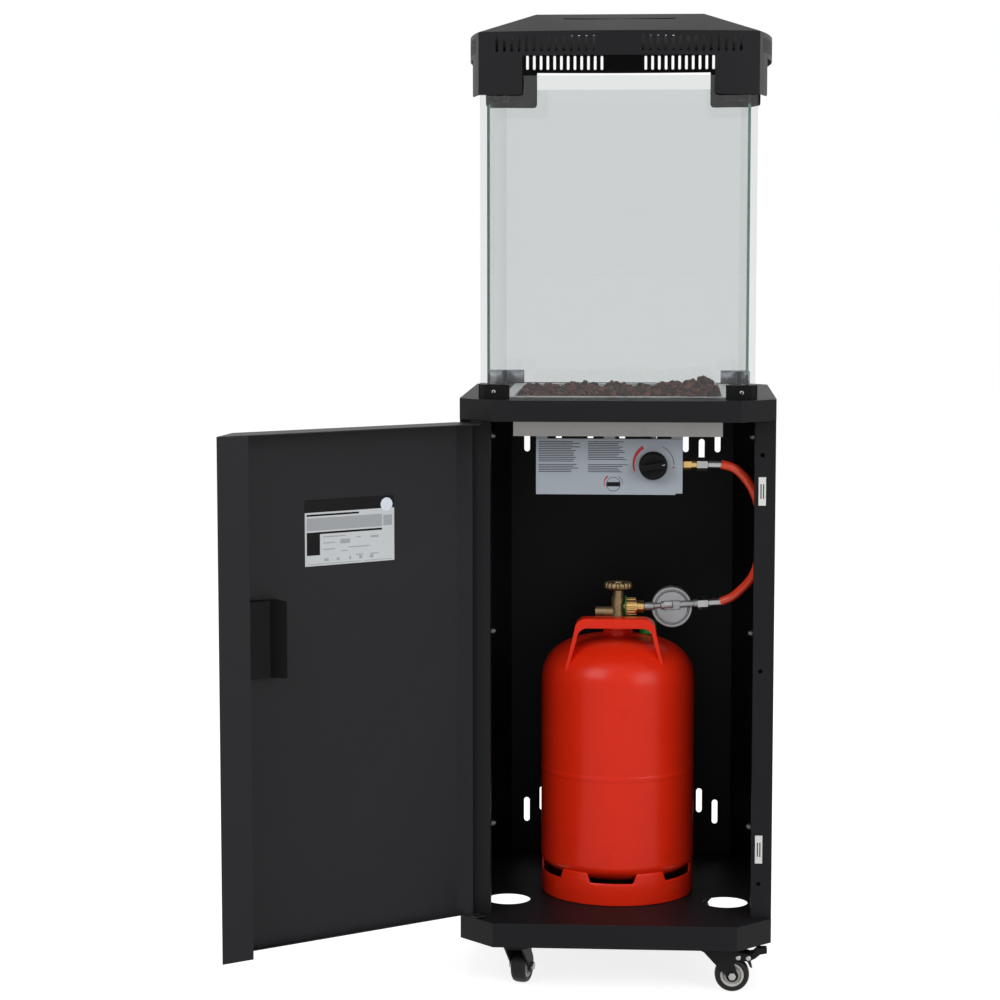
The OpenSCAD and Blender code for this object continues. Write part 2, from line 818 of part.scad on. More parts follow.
// Hose swept along its route with a round section
module gas_hose() {
  n = len(hose_route);
  tangent = [for (i = [0 : n - 1])
    i == 0 ? [1, 0, 0]
      : i == n - 1 ? [-cos(line_tilt), 0, -sin(line_tilt)]
      : unit(hose_route[i + 1] - hose_route[i - 1])];
  rings = [for (i = [0 : n - 1], k = [0 : hose_sides - 1])
    let(
      side = unit(cross(tangent[i], [0, 0.94, 0.34])),
      top = cross(side, tangent[i]),
      a = 360 * k / hose_sides
    )
    hose_route[i] + hose_d / 2 * (cos(a) * side + sin(a) * top)];
  walls = [for (i = [0 : n - 2], k = [0 : hose_sides - 1], half_face = [0, 1])
    let(a = i * hose_sides + k, b = i * hose_sides + (k + 1) % hose_sides)
    half_face == 0 ? [a, b, b + hose_sides] : [a, b + hose_sides, a + hose_sides]];
  ends = [for (k = [1 : hose_sides - 2]) each [
    [0, k + 1, k],
    [(n - 1) * hose_sides, (n - 1) * hose_sides + k, (n - 1) * hose_sides + k + 1]
  ]];
  color([0.80, 0.16, 0.06]) polyhedron(rings, concat(walls, ends));
}

// Regulator: round housing that faces the front, on a tube along the outlet axis
module regulator() {
  tube_d = 13;
  start = tube_d / 2 * tan(line_tilt) + run;
  middle = 44;
  seam = 35;
  drop = 4;
  r = regulator_d / 2;
  color([0.62, 0.63, 0.64])
    line_pose()
      union() {
        translate([start, 0, 0])
          rotate([0, 90, 0]) rotate([0, 0, seam + 15]) cylinder(d = tube_d, h = line_len - fit_len - start);
        translate([middle, 0, -drop])
          rotate([90, 0, 0])
            rotate([0, 0, seam]) rotate_extrude()
              polygon([
                [0, -27], [r * 0.45, -26], [r, -15], [r, -3], [r * 0.92, -1], [r * 0.8, -2], [r * 0.76, 0], [0, 1]
              ]);
      }
}

// Brass union nut that clamps the regulator to the bottle's outlet
module union_nut() {
  flutes = 12;
  d = 26;
  len = 26;
  color(brass)
    translate([line_start.x - len, bottle_y, outlet_h])
      rotate([0, 90, 0])
        difference() {
          union() {
            cylinder(d = d, h = len * 0.6);
            cylinder(d = d * 0.7, h = len);
          }
          for (k = [0 : flutes - 1])
            rotate([0, 0, 360 * k / flutes]) translate([d / 2, 0, -cut]) cylinder(d = 3, h = len * 0.6 - 2 + cut);
          translate([0, 0, -cut]) cylinder(d = outlet_d, h = len * 0.6 + cut);
        }
}

// Pressure vessel: domed ends, straight side with a weld band, and a neck bored for the valve
module bottle_body() {
  steps = 10;
  weld_h = 16;
  weld_r = 1.2;
  neck_r = neck_d / 2;
  outer_dome = dome_points(bottle_r, bottle_dome, dome_angle(neck_r, bottle_r));
  outer_base = [for (k = [0 : steps]) let(a = 90 * k / steps)
    [bottle_r * sin(a), bottom_z + bottom_dome - bottom_dome * cos(a)]];
  inner_r = bottle_r - bottle_wall;
  dome_in = dome_points(inner_r, bottle_dome - bottle_wall, dome_angle(valve_bore, inner_r));
  inner_dome = [for (k = [dome_steps : -1 : 0]) dome_in[k]];
  inner_base = [for (k = [0 : steps]) let(a = 90 - 90 * k / steps)
    [inner_r * sin(a), bottom_z + bottom_dome - (bottom_dome - bottle_wall) * cos(a)]];
  weld = [
    [bottle_r, tray_z1 + weld_z - weld_h], [bottle_r + weld_r, tray_z1 + weld_z - weld_h + 3],
    [bottle_r + weld_r, tray_z1 + weld_z - 3], [bottle_r, tray_z1 + weld_z]
  ];
  neck_z1 = dome_z1 + neck_h;
  neck = [[neck_r, neck_z1 - 1], [neck_r - 1, neck_z1], [valve_bore, neck_z1]];
  color(bottle_red)
    translate([bottle_x, bottle_y, 0])
      rotate_extrude($fn = 96)
        polygon(concat(outer_base, weld, outer_dome, neck, inner_dome, inner_base));
}

// Foot ring with openings round its upper edge
module bottle_foot_ring() {
  r = bottle_r - 1;
  wall = 3;
  openings = 3;
  color(bottle_red)
    translate([bottle_x, bottle_y, 0])
      difference() {
        translate([0, 0, tray_z1]) cylinder(r = r, h = foot_ring_h, $fn = 96);
        translate([0, 0, tray_z1 - cut]) cylinder(r = r - wall, h = foot_ring_h + 2 * cut, $fn = 96);
        for (k = [0 : openings - 1])
          rotate([0, 0, 360 * k / openings - 90])
            translate([r, 0, tray_z1 + foot_ring_h])
              rotate([0, 90, 0])
                linear_extrude(60, center = true) polygon([[-cut, -30], [-cut, 30], [16, 22], [16, -22]]);
        translate([0, 0, bottom_z + bottom_dome]) bottom_cut();
      }
}

// Round cut that keeps the foot ring just outside the bottle's lower dome
module bottom_cut() {
  steps = 10;
  rotate_extrude($fn = 96)
    polygon(concat(
      [[0, foot_ring_h], [bottle_r + weld_gap, foot_ring_h]],
      [for (k = [0 : steps]) let(a = 90 - 90 * k / steps)
        [(bottle_r + weld_gap) * sin(a), -(bottom_dome + weld_gap) * cos(a)]]
    ));
}

// Half outline of the handle's arch, seen from the front, mirrored to a full outline
function mirrored(half_line) = concat(
  half_line, [for (k = [len(half_line) - 1 : -1 : 0]) [-half_line[k].x, half_line[k].y]]
);

// Half outline of an arch that lies inside the handle's outer arch by a margin at its top, crown and feet
function arch(in_top, low, in_foot) = [
  [handle_top - in_top / 2, -low], [handle_top + 8 - in_top, -low - 2], [handle_top + 13.5 - in_top, -low - 6.5],
  [handle_top + 16.5 - in_top, -low - 14], [handle_foot - in_foot, -handle_drop]
];

// Carrying handle: an arched strap with a web along its front edge, trimmed to the shoulder
module bottle_handle() {
  strap_t = 3;
  strap_w = 32;
  front = -80;
  top_z = dome_z1 + 34;
  outer = arch(0, 0, 0);
  inner = arch(strap_t * 0.9, strap_t, strap_t * 1.1);
  web = arch(4, handle_web, 7.5);
  color(bottle_red)
    difference() {
      translate([handle_x, bottle_y + front, top_z])
        rotate([90, 0, 0]) {
          translate([0, 0, -strap_w])
            linear_extrude(strap_w)
              difference() {
                polygon(mirrored(outer));
                polygon(mirrored(inner));
              }
          translate([0, 0, -strap_t])
            linear_extrude(strap_t)
              difference() {
                polygon(mirrored(outer));
                polygon(mirrored(web));
              }
        }
      translate([bottle_x, bottle_y, 0])
        rotate_extrude($fn = 96)
          polygon(concat(
            [[0, dome_z0 - bottle_dome], [bottle_r + handle_gap, dome_z0 - bottle_dome]],
            dome_points(bottle_r + handle_gap, bottle_dome + handle_gap, 0)
          ));
    }
}

// Brass bottle valve: stem in the neck, body, outlet to the right, side port to the left and spindle tower
module bottle_valve() {
  stem_r = valve_bore - run;
  body_r = valve_body_r;
  neck_z1 = dome_z1 + neck_h;
  tower_z = handwheel_z() - move_gap;
  color(brass)
    translate([bottle_x, bottle_y, 0])
      difference() {
        union() {
          translate([0, 0, dome_z1 - 10]) cylinder(r = stem_r, h = 10 + neck_h + 1);
          translate([0, 0, neck_z1]) cylinder(r = body_r, h = outlet_h + 14 - neck_z1);
          translate([0, 0, outlet_h]) cylinder(r = 8, h = tower_z - outlet_h);
          translate([0, 0, outlet_h]) rotate([0, 90, 0]) cylinder(d = outlet_d - 2 * run, h = 26);
          translate([-34, 0, outlet_h - port_drop]) rotate([0, 90, 0]) cylinder(d = 15, h = 34);
        }
        translate([-34 - cut, 0, outlet_h - port_drop]) rotate([0, 90, 0]) cylinder(d = 8, h = 14 + cut);
        translate([0, 0, tower_z - 16]) cylinder(r = 3 + run, h = 17);
      }
}

function handwheel_z() = outlet_h + 24.4;

// Fluted hand wheel with its spindle, which turns in the valve
module valve_handwheel() {
  flutes = 12;
  rim_h = 12;
  color(brass)
    translate([bottle_x, bottle_y, handwheel_z()])
      difference() {
        union() {
          rotate_extrude()
            polygon([
              [0, 0], [9, 0], [wheel_d / 2 - 3, 1.5], [wheel_d / 2, 4], [wheel_d / 2, rim_h - 2],
              [wheel_d / 2 - 3, rim_h + 1], [8, rim_h + 2], [0, rim_h + 2]
            ]);
          translate([0, 0, -14]) cylinder(r = 3, h = 15);
        }
        for (k = [0 : flutes - 1])
          rotate([0, 0, 360 * (k + 0.5) / flutes])
            translate([wheel_d / 2 + 1, 0, -cut]) cylinder(r = 2.6, h = rim_h + 4);
      }
}

// Plastic outlet cap on its strap, with the ring round the valve's outlet
module outlet_cap() {
  ring_x = bottle_x + valve_body_r + seat;
  ring_w = 2;
  ring_d = 33;
  cap_d = 27;
  cap_len = 20;
  cap_top = 8;
  cap_p = [bottle_x + 45, bottle_y + 22];
  cap_z = dome_at(norm([45, 22]) - cap_d / 2) + weld_gap;
  color(cap_green) {
    translate([ring_x, bottle_y, outlet_h])
      rotate([0, 90, 0])
        difference() {
          cylinder(d = ring_d, h = ring_w);
          translate([0, 0, -cut]) cylinder(d = outlet_d + 2 * seat, h = ring_w + 2 * cut);
        }
    bar([ring_x + ring_w / 2, bottle_y + 9, outlet_h - ring_d / 2 + 4],
      [cap_p.x - cap_d * 0.2, cap_p.y - cap_d * 0.2, cap_z + cap_len - cap_top / 2], 5, 1.6);
    translate([cap_p.x, cap_p.y, cap_z])
      difference() {
        cylinder(d = cap_d, h = cap_len);
        translate([0, 0, -cut]) cylinder(d = cap_d - 5, h = cap_len - cap_top + cut);
      }
  }
}

// One glass pane of width w whose outer face lies at distance out on the front side, turned into place
module glass_pane(w, out, turn) {
  color(glass_tint)
    rotate([0, 0, turn])
      translate([-w / 2, -out, pane_z0]) cube([w, pane_t, pane_h]);
}

module glass_front() glass_pane(pane_w, pane_out, 0);
module glass_right() glass_pane(side_w, side_out, 90);
module glass_rear() glass_pane(pane_w, pane_out, 180);
module glass_left() glass_pane(side_w, side_out, 270);

// Corner block round two panes: outer size, legs and pane slots, the front one open at its end
module corner_block(out, bevel, z0, h, slot_z0, slot_h) {
  inner = [side_out - pane_t - pane_back, pane_out - pane_t - pane_back];
  far = pane_out + bracket_wall - bracket_leg;
  slot_w = pane_t + 2 * seat;
  color(plastic_black)
    for (c = corners)
      mirror([c.x < 0 ? 1 : 0, 0, 0])
        mirror([0, c.y < 0 ? 1 : 0, 0])
          difference() {
            translate([0, 0, z0])
              linear_extrude(h)
                polygon([
                  [far, out], [out - bevel, out], [out, out - bevel], [out, far],
                  [inner.x, far], [inner.x, inner.y], [far, inner.y]
                ]);
            translate([0, pane_out + seat - slot_w, slot_z0]) cube([out + cut, slot_w, slot_h]);
            translate([side_out + seat - slot_w, 0, slot_z0]) cube([slot_w, pane_out, slot_h]);
          }
}

// Lower brackets that stand the panes on the table, cut away over the pan's rim
module glass_brackets() {
  rim_w = pan_w + 2 * pan_rim + 2 * seat;
  difference() {
    corner_block(pane_out + bracket_wall, bracket_bevel, table_z1, bracket_h, pane_z0, bracket_h);
    translate([-rim_w / 2, -rim_w / 2, table_z1 - cut]) cube([rim_w, rim_w, cut + sheet_t + seat]);
  }
}

// Upper clips that sit on the panes and hold the hood's corners
module hood_clips() {
  out = bow_in() - seat;
  corner_block(out, clip_bevel, pane_z1 - clip_h, clip_h + clip_cap, pane_z1 - clip_h - cut, clip_h + cut);
}

// Half width of the hood's inside at its corners
function bow_in() = let(r = bow_r - sheet_t) (sqrt(2 * r * r - bow_c * bow_c) - bow_c) / 2;

// Solid with four bowed sides
module bowed_block(r, h) {
  intersection_for(k = [0 : 3])
    rotate([0, 0, 90 * k]) translate([0, bow_c, 0]) cylinder(r = r, h = h, $fn = 720);
}

// Outline of the opening between two hood legs, which rounds the legs' lower corners
module leg_gap(w, h, r) {
  translate([-w / 2, -cut]) square([w, h + cut]);
  for (s = [-1, 1])
    difference() {
      translate([s * (w + r) / 2, (r - cut) / 2]) square([r, r + cut], center = true);
      translate([s * (w / 2 + r), r]) circle(r = r);
    }
}

// Hood skirt: bowed shell with slots under the eave and legs at its corners
module hood_skirt() {
  gap_w = hood_w - 2 * hood_leg;
  gap_h = hood_h - hood_band;
  slot_z = eave_z - hood_slot_drop - hood_slot_h / 2;
  color(steel_black)
    difference() {
      translate([0, 0, hood_z0]) bowed_block(bow_r, hood_h);
      translate([0, 0, hood_z0 - cut]) bowed_block(bow_r - sheet_t, hood_h + 2 * cut);
      for (turn = [0, 90])
        rotate([0, 0, turn]) {
          translate([0, 0, hood_z0])
            rotate([90, 0, 0]) linear_extrude(2 * hood_w, center = true) leg_gap(gap_w, gap_h, leg_round);
          for (s = [-1, 1], k = [0 : hood_slots - 1])
            translate([s * (hood_slot_start + k * hood_slot_pitch), 0, slot_z])
              slot_cut(hood_slot_w, hood_slot_h, 2 * hood_w);
        }
    }
}

// Hood roof: four slopes from the bowed eave to a flat plate, with a slit in each slope
module hood_roof() {
  thin = 0.02;
  slit_end = 10;
  slit_mid = 1.5;
  slit_y = roof_flat / 2 + 30;
  color(steel_black)
    difference() {
      roof_block(0, eave_z, thin);
      roof_block(sheet_t, eave_z - thin, thin);
      for (turn = [0 : 90 : 270])
        rotate([0, 0, turn])
          translate([0, 0, eave_z - cut])
            linear_extrude(roof_rise + 2 * cut)
              polygon([
                [-roof_slit / 2, slit_y - slit_end / 2], [0, slit_y - slit_mid / 2],
                [roof_slit / 2, slit_y - slit_end / 2], [roof_slit / 2, slit_y + slit_end / 2],
                [0, slit_y + slit_mid / 2], [-roof_slit / 2, slit_y + slit_end / 2]
              ]);
    }
}

// Solid roof, moved inwards by d
module roof_block(d, z, thin) {
  hull() {
    translate([0, 0, z]) linear_extrude(thin) polygon(bow_outline(d));
    translate([0, 0, z + roof_rise - d - thin])
      linear_extrude(thin) square(roof_flat - d, center = true);
  }
}

// Spindle of the gas valve, with a flat for the knob
module valve_spindle() {
  y0 = panel_y - knob_gap - spindle_grip;
  len = panel_y + sheet_t + 26 - y0;
  flat_len = spindle_grip + knob_push + 1;
  color(zinc)
    translate([knob_x, y0, knob_z])
      difference() {
        rotate([-90, 0, 0]) cylinder(d = spindle_d, h = len);
        translate([-spindle_d, -cut, spindle_flat]) cube([2 * spindle_d, flat_len + cut, spindle_d]);
      }
}

// Control knob: round body with a grip bar, bored to slide on the spindle
module control_knob() {
  back_y = panel_y - knob_gap;
  body_len = knob_len * 0.55;
  bore_len = spindle_grip + knob_push + 1;
  bar_w = 10;
  color(plastic_black)
    translate([knob_x, back_y, knob_z])
      difference() {
        union() {
          rotate([90, 0, 0])
            rotate_extrude()
              polygon([
                [0, 0], [knob_d / 2, 0], [knob_d / 2, 2.5], [knob_d / 2 - 1.5, body_len - 1],
                [knob_d / 2 - 2.5, body_len], [0, body_len]
              ]);
          rotate([0, -knob_tilt, 0])
            translate([-knob_d / 2 + 2, -knob_len, -bar_w / 2]) cube([knob_d - 4, knob_len - body_len + 1, bar_w]);
        }
        difference() {
          translate([0, cut, 0]) rotate([90, 0, 0]) cylinder(d = spindle_d + 2 * run, h = bore_len + cut);
          translate([-spindle_d, -bore_len - cut, spindle_flat + run]) cube([2 * spindle_d, bore_len + cut, spindle_d]);
        }
      }
}

// Turns what is drawn for the closed door to its open rest position
module door_pose() {
  translate([hinge_x, hinge_y, 0]) rotate([0, 0, -door_open]) translate([-hinge_x, -hinge_y, 0]) children();
}

// Plan of the door's sheet: hinge flange, main panel, slanted free edge and return lip
module door_plan() {
  bend = half - corner;
  translate([fold_x, -half]) square([bend - fold_x, sheet_t]);
  translate([fold_x, -half])
    mirror([1, 0]) rotate(45) square([door_hinge_flange, sheet_t]);
  intersection() {
    octagon_wall(foot_w, corner, sheet_t);
    translate([bend - sheet_t, -foot_w]) square([foot_w, foot_w + lip_y]);
  }
  translate([half - sheet_t - door_lip, lip_y - sheet_t]) square([door_lip, sheet_t]);
}

// Outline of a door flange, from its free edge's points to the ear that takes the hinge pin
module door_flange(edge) {
  ear = 8;
  reach = door_hinge_flange / sqrt(2);
  last = edge[len(edge) - 1];
  difference() {
    polygon(concat(
      [[fold_x, -half], [half - corner, -half]], edge,
      [
        [hinge_x + ear, last.y], [hinge_x + ear, hinge_y + ear], [hinge_x - ear, hinge_y + ear],
        [hinge_x - ear, max(hinge_y - ear, -half + reach)], [fold_x - reach, -half + reach]
      ]
    ));
    translate([hinge_x, hinge_y]) circle(d = hinge_pin_d + 2 * run);
  }
}

// Folded door panel with the opening for the handle cup
module door_panel() {
  floor_end = [half - corner + door_floor, -half + door_floor];
  color(steel_black)
    door_pose()
      difference() {
        union() {
          translate([0, 0, door_z0]) linear_extrude(door_z1 - door_z0) door_plan();
          translate([0, 0, door_z0]) linear_extrude(sheet_t) door_flange([floor_end]);
          translate([0, 0, door_z1 - sheet_t])
            linear_extrude(sheet_t)
              door_flange([[half - sheet_t, lip_y - sheet_t], [half - sheet_t, lip_y]]);
        }
        translate([cup_x1 - cup_w - seat, -half - cut, tray_z1 + cup_z - cup_h / 2 - seat])
          cube([cup_w + 2 * seat, sheet_t + 2 * cut, cup_h + 2 * seat]);
      }
}

// Handle cup: recessed grip with a bezel on the door's face
module door_handle_cup() {
  lip_t = 1.5;
  back = cup_d - cup_pocket;
  behind = sheet_t + seat;
  wall = cup_wall;
  outer = [[cup_w, 0], [cup_w, back], [0, back], [-cup_pocket, cup_d], [-cup_pocket, behind], [0, behind], [0, 0]];
  inner = [[cup_w - wall, -lip_t - cut], [cup_w - wall, back - wall], [-wall * (sqrt(2) - 1), back - wall],
           [wall - cup_pocket, cup_d - wall * (sqrt(2) + 1)], [wall - cup_pocket, behind + wall],
           [wall, behind + wall], [wall, -lip_t - cut]];
  color(plastic_black)
    door_pose()
      translate([cup_x1 - cup_w, -half, tray_z1 + cup_z - cup_h / 2])
        difference() {
          union() {
            linear_extrude(cup_h) polygon(outer);
            translate([-cup_bezel, -lip_t, -cup_bezel])
              cube([cup_w + 2 * cup_bezel, lip_t, cup_h + 2 * cup_bezel]);
          }
          translate([0, 0, wall]) linear_extrude(cup_h - 2 * wall) polygon(inner);
        }
}

// Hinge pins that turn in the tray and in the left post's tab
module hinge_pins() {
  tab_z1 = door_z1 + hinge_tab_gap + hinge_tab_t;
  color(zinc)
    translate([hinge_x, hinge_y, 0]) {
      translate([0, 0, tray_z1 - sheet_t]) cylinder(d = hinge_pin_d, h = door_z0 + sheet_t - tray_z1 + sheet_t);
      translate([0, 0, door_z0 + sheet_t]) cylinder(d = pin_head_d, h = pin_head_h);
      translate([0, 0, door_z1 - sheet_t]) cylinder(d = hinge_pin_d, h = tab_z1 - door_z1 + sheet_t);
      translate([0, 0, door_z1 - sheet_t - pin_head_h]) cylinder(d = pin_head_d, h = pin_head_h);
    }
}

// Places caster k: swivel axis at the origin, wheel trailing towards +X
module caster_place(k) {
  translate([corners[k].x * swivel_x, corners[k].y * swivel_y, 0]) rotate([0, 0, caster_turn[k]]) children();
}

function has_brake(k) = k == 0 || k == 3;

// Side outline of a fork cheek, with the ear for the brake pedal's pivot
module cheek_plan(brake) {
  polygon([[-18, crown_z1], [22, crown_z1], [trail + 9, axle_z], [trail - 9, axle_z]]);
  translate([trail, axle_z]) circle(r = 9);
  if (brake) {
    polygon([[18, crown_z1], [20, crown_z0 - 12], [trail + pedal_t, axle_z + pedal_up - 5],
      [trail + pedal_t, axle_z + pedal_up + 5]]);
    translate([trail + pedal_t, axle_z + pedal_up]) circle(r = 5);
  }
}

// Caster fork: crown on the king pin and two cheeks
module caster_fork(k) {
  inside = tyre_w / 2 + cheek_gap;
  color(plastic_black)
    caster_place(k)
      difference() {
        union() {
          translate([0, 0, crown_z0]) cylinder(r = head_r, h = crown_t);
          translate([0, -inside - cheek_t, crown_z0]) cube([22, 2 * (inside + cheek_t), crown_t]);
          for (y = [-inside, inside + cheek_t])
            translate([0, y, 0])
              rotate([90, 0, 0]) linear_extrude(cheek_t) cheek_plan(has_brake(k));
          if (has_brake(k))
            translate([trail + pedal_t, 0, axle_z + pedal_up])
              rotate([90, 0, 0]) cylinder(d = 4, h = 2 * inside + cheek_t, center = true);
        }
        translate([0, 0, crown_z0 - cut]) cylinder(r = king_r + run, h = crown_t + 2 * cut);
        translate([trail, 0, axle_z])
          rotate([90, 0, 0]) cylinder(d = axle_d + 2 * run, h = 4 * inside, center = true);
      }
}

// Axle bolt with its head and nut
module caster_axle(k) {
  out = tyre_w / 2 + cheek_gap + cheek_t;
  head_h2 = 4;
  color(zinc)
    caster_place(k)
      translate([trail, 0, axle_z])
        rotate([90, 0, 0]) {
          cylinder(d = axle_d, h = 2 * out + 2 * head_h2, center = true);
          translate([0, 0, out]) cylinder(d = axle_d * 1.9, h = head_h2, $fn = 6);
          translate([0, 0, -out - head_h2]) cylinder(d = axle_d * 1.9, h = head_h2, $fn = 6);
        }
}

// Wheel hub with a rim, turned about the axle
module caster_wheel(k) {
  w = tyre_w / 2 - 1;
  hub_r = axle_d / 2 + 4;
  color([0.72, 0.70, 0.66])
    caster_place(k)
      translate([trail, 0, axle_z])
        rotate([90, 0, 0])
          rotate_extrude()
            polygon([
              [axle_d / 2 + run, -w - 0.5], [hub_r, -w - 0.5], [hub_r, -w + 3], [rim_r - 4, -w + 3],
              [rim_r - 4, -w], [rim_r, -w], [rim_r, w], [rim_r - 4, w], [rim_r - 4, w - 3],
              [hub_r, w - 3], [hub_r, w + 0.5], [axle_d / 2 + run, w + 0.5]
            ]);
}

// Tyre with rounded shoulders
module caster_tyre(k) {
  w = tyre_w / 2;
  r = tyre_d / 2;
  color(plastic_black)
    caster_place(k)
      translate([trail, 0, axle_z])
        rotate([90, 0, 0])
          rotate_extrude($fn = 96)
            polygon([
              [rim_r + run, -w], [r - 5, -w], [r - 1.5, -w + 2], [r, -w + 5.5],
              [r, w - 5.5], [r - 1.5, w - 2], [r - 5, w], [rim_r + run, w]
            ]);
}

// Brake pedal: pressed down it swings its shoe against the tyre
module brake_pedal(k) {
  pin_r = 2;
  tip = 27;
  color(plastic_black)
    caster_place(k)
      translate([trail + pedal_t, pedal_w / 2, axle_z + pedal_up])
        rotate([90, 0, 0])
          difference() {
            linear_extrude(pedal_w)
              polygon([
                [-4.5, 2], [-2, 4.5], [2, 5], [8, 6], [14, 12], [tip, 12], [tip, 6], [17, 4], [10, -2], [4, -5],
                [4, -10], [6, -16], [3, -15], [-0.5, -8], [-3.5, -4], [-4.7, -1]
              ]);
            translate([0, 0, -cut]) cylinder(r = pin_r + run, h = pedal_w + 2 * cut);
          }
}

base_tray();
caster_brackets();
caster_plates();
side_panel_left();
side_panel_right();
rear_panel();
post_left();
post_right();
dome_screws();
magnetic_catches();
table_top();
burner_pan();
burner_plate();
lava_rocks();
burner_probes();
control_panel();
gas_valve();
gas_pipe();
inlet_fitting();
hose_fittings();
gas_hose();
regulator();
union_nut();
bottle_body();
bottle_foot_ring();
bottle_handle();
bottle_valve();
outlet_cap();
glass_front();
glass_rear();
glass_left();
glass_right();
glass_brackets();
hood_clips();
hood_skirt();
hood_roof();
valve_spindle();
control_knob();
valve_handwheel();
door_panel();
door_handle_cup();
hinge_pins();
caster_fork(0);  // fork_front_right
caster_fork(1);  // fork_front_left
caster_fork(2);  // fork_rear_right
caster_fork(3);  // fork_rear_left
caster_axle(0);  // axle_front_right
caster_axle(1);  // axle_front_left
caster_axle(2);  // axle_rear_right
caster_axle(3);  // axle_rear_left
caster_wheel(0);  // wheel_front_right
caster_wheel(1);  // wheel_front_left
caster_wheel(2);  // wheel_rear_right
caster_wheel(3);  // wheel_rear_left
caster_tyre(0);  // tyre_front_right
caster_tyre(1);  // tyre_front_left
caster_tyre(2);  // tyre_rear_right
caster_tyre(3);  // tyre_rear_left
brake_pedal(0);  // brake_front_right
brake_pedal(3);  // brake_rear_left
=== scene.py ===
"""Looks of a gas patio heater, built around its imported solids.

The solids carry the main shapes. This script gives each of them its finish and makes the pieces that
need more than a solid holds: hose, regulator, lava bed, probes, fixings, liners, bottle, hand wheel,
knob, tyres, hubs, rivets and plain printed forms.
Lengths are metres in the frame of the solids: +Z up, the front faces -Y.
"""

from __future__ import annotations

import json
import logging
import math
from dataclasses import dataclass, field
from enum import Enum
from typing import Any, Sequence

import bmesh
import bpy
from mathutils import Matrix, Vector

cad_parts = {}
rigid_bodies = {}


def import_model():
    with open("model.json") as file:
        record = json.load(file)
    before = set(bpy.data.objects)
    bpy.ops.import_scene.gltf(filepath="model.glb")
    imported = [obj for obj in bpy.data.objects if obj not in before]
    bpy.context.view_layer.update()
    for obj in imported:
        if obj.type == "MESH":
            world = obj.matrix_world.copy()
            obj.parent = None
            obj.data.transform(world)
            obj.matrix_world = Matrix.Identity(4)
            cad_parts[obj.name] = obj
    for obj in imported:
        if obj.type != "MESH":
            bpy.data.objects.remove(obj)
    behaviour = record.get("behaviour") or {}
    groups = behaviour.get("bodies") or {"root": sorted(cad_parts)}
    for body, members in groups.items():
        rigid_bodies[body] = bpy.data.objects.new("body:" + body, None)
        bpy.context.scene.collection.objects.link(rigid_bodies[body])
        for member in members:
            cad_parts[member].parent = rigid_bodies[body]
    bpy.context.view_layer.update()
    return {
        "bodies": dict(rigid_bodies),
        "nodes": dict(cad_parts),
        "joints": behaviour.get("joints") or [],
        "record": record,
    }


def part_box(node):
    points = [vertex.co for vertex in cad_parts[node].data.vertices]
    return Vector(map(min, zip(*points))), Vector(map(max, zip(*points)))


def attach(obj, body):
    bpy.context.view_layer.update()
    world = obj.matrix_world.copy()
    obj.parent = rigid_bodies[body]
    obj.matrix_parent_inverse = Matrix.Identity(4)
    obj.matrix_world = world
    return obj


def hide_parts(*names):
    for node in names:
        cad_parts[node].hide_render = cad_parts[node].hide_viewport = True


LOG = logging.getLogger("patio_heater")
TINY = 1e-9
MERGE_DISTANCE = 1e-6
BLOCK_SEGMENTS = 3
CORNER_STEPS = 6
# Share of the outer radius where lobes begin
LOBE_START = 0.6
# Colour sockets of a mix node by number
MIX_FIRST = 6
MIX_SECOND = 7
MIX_RESULT = 2

Point = tuple[float, float, float]
Pair = tuple[float, float]
Color = tuple[float, float, float]
Share = tuple[float, float, float, float]
Edges = tuple[Pair, Pair]
Rise = tuple[float, int, float]
Profile = tuple[Pair, ...]
Block = tuple[Point, Point, float]
Fixing = tuple[Point, Point, float]


class Body(Enum):
    """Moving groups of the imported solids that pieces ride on."""

    CABINET = "cabinet"
    DOOR = "door"
    KNOB = "knob"
    HANDWHEEL = "handwheel"
    WHEELS = "roller"
    FORKS = "caster"


class Corner(Enum):
    """The four casters: swivel axis side, swivel axis depth and turn of the trailing wheel in degrees."""

    FRONT_RIGHT = ("front_right", 0.143, -0.180, 0.0)
    FRONT_LEFT = ("front_left", -0.143, -0.180, 75.0)
    REAR_RIGHT = ("rear_right", 0.143, 0.180, 180.0)
    REAR_LEFT = ("rear_left", -0.143, 0.180, 0.0)


class SharedEffect(Enum):
    """Shader effects that more than one finish uses."""

    GRAIN = "surface_grain"
    EDGE = "soft_edge"
    SMUDGE = "smudge"
    BRUSH = "brush_lines"


class ThinAxis(Enum):
    """Axis along which a pane is thin."""

    ACROSS = "X"
    DEPTH = "Y"


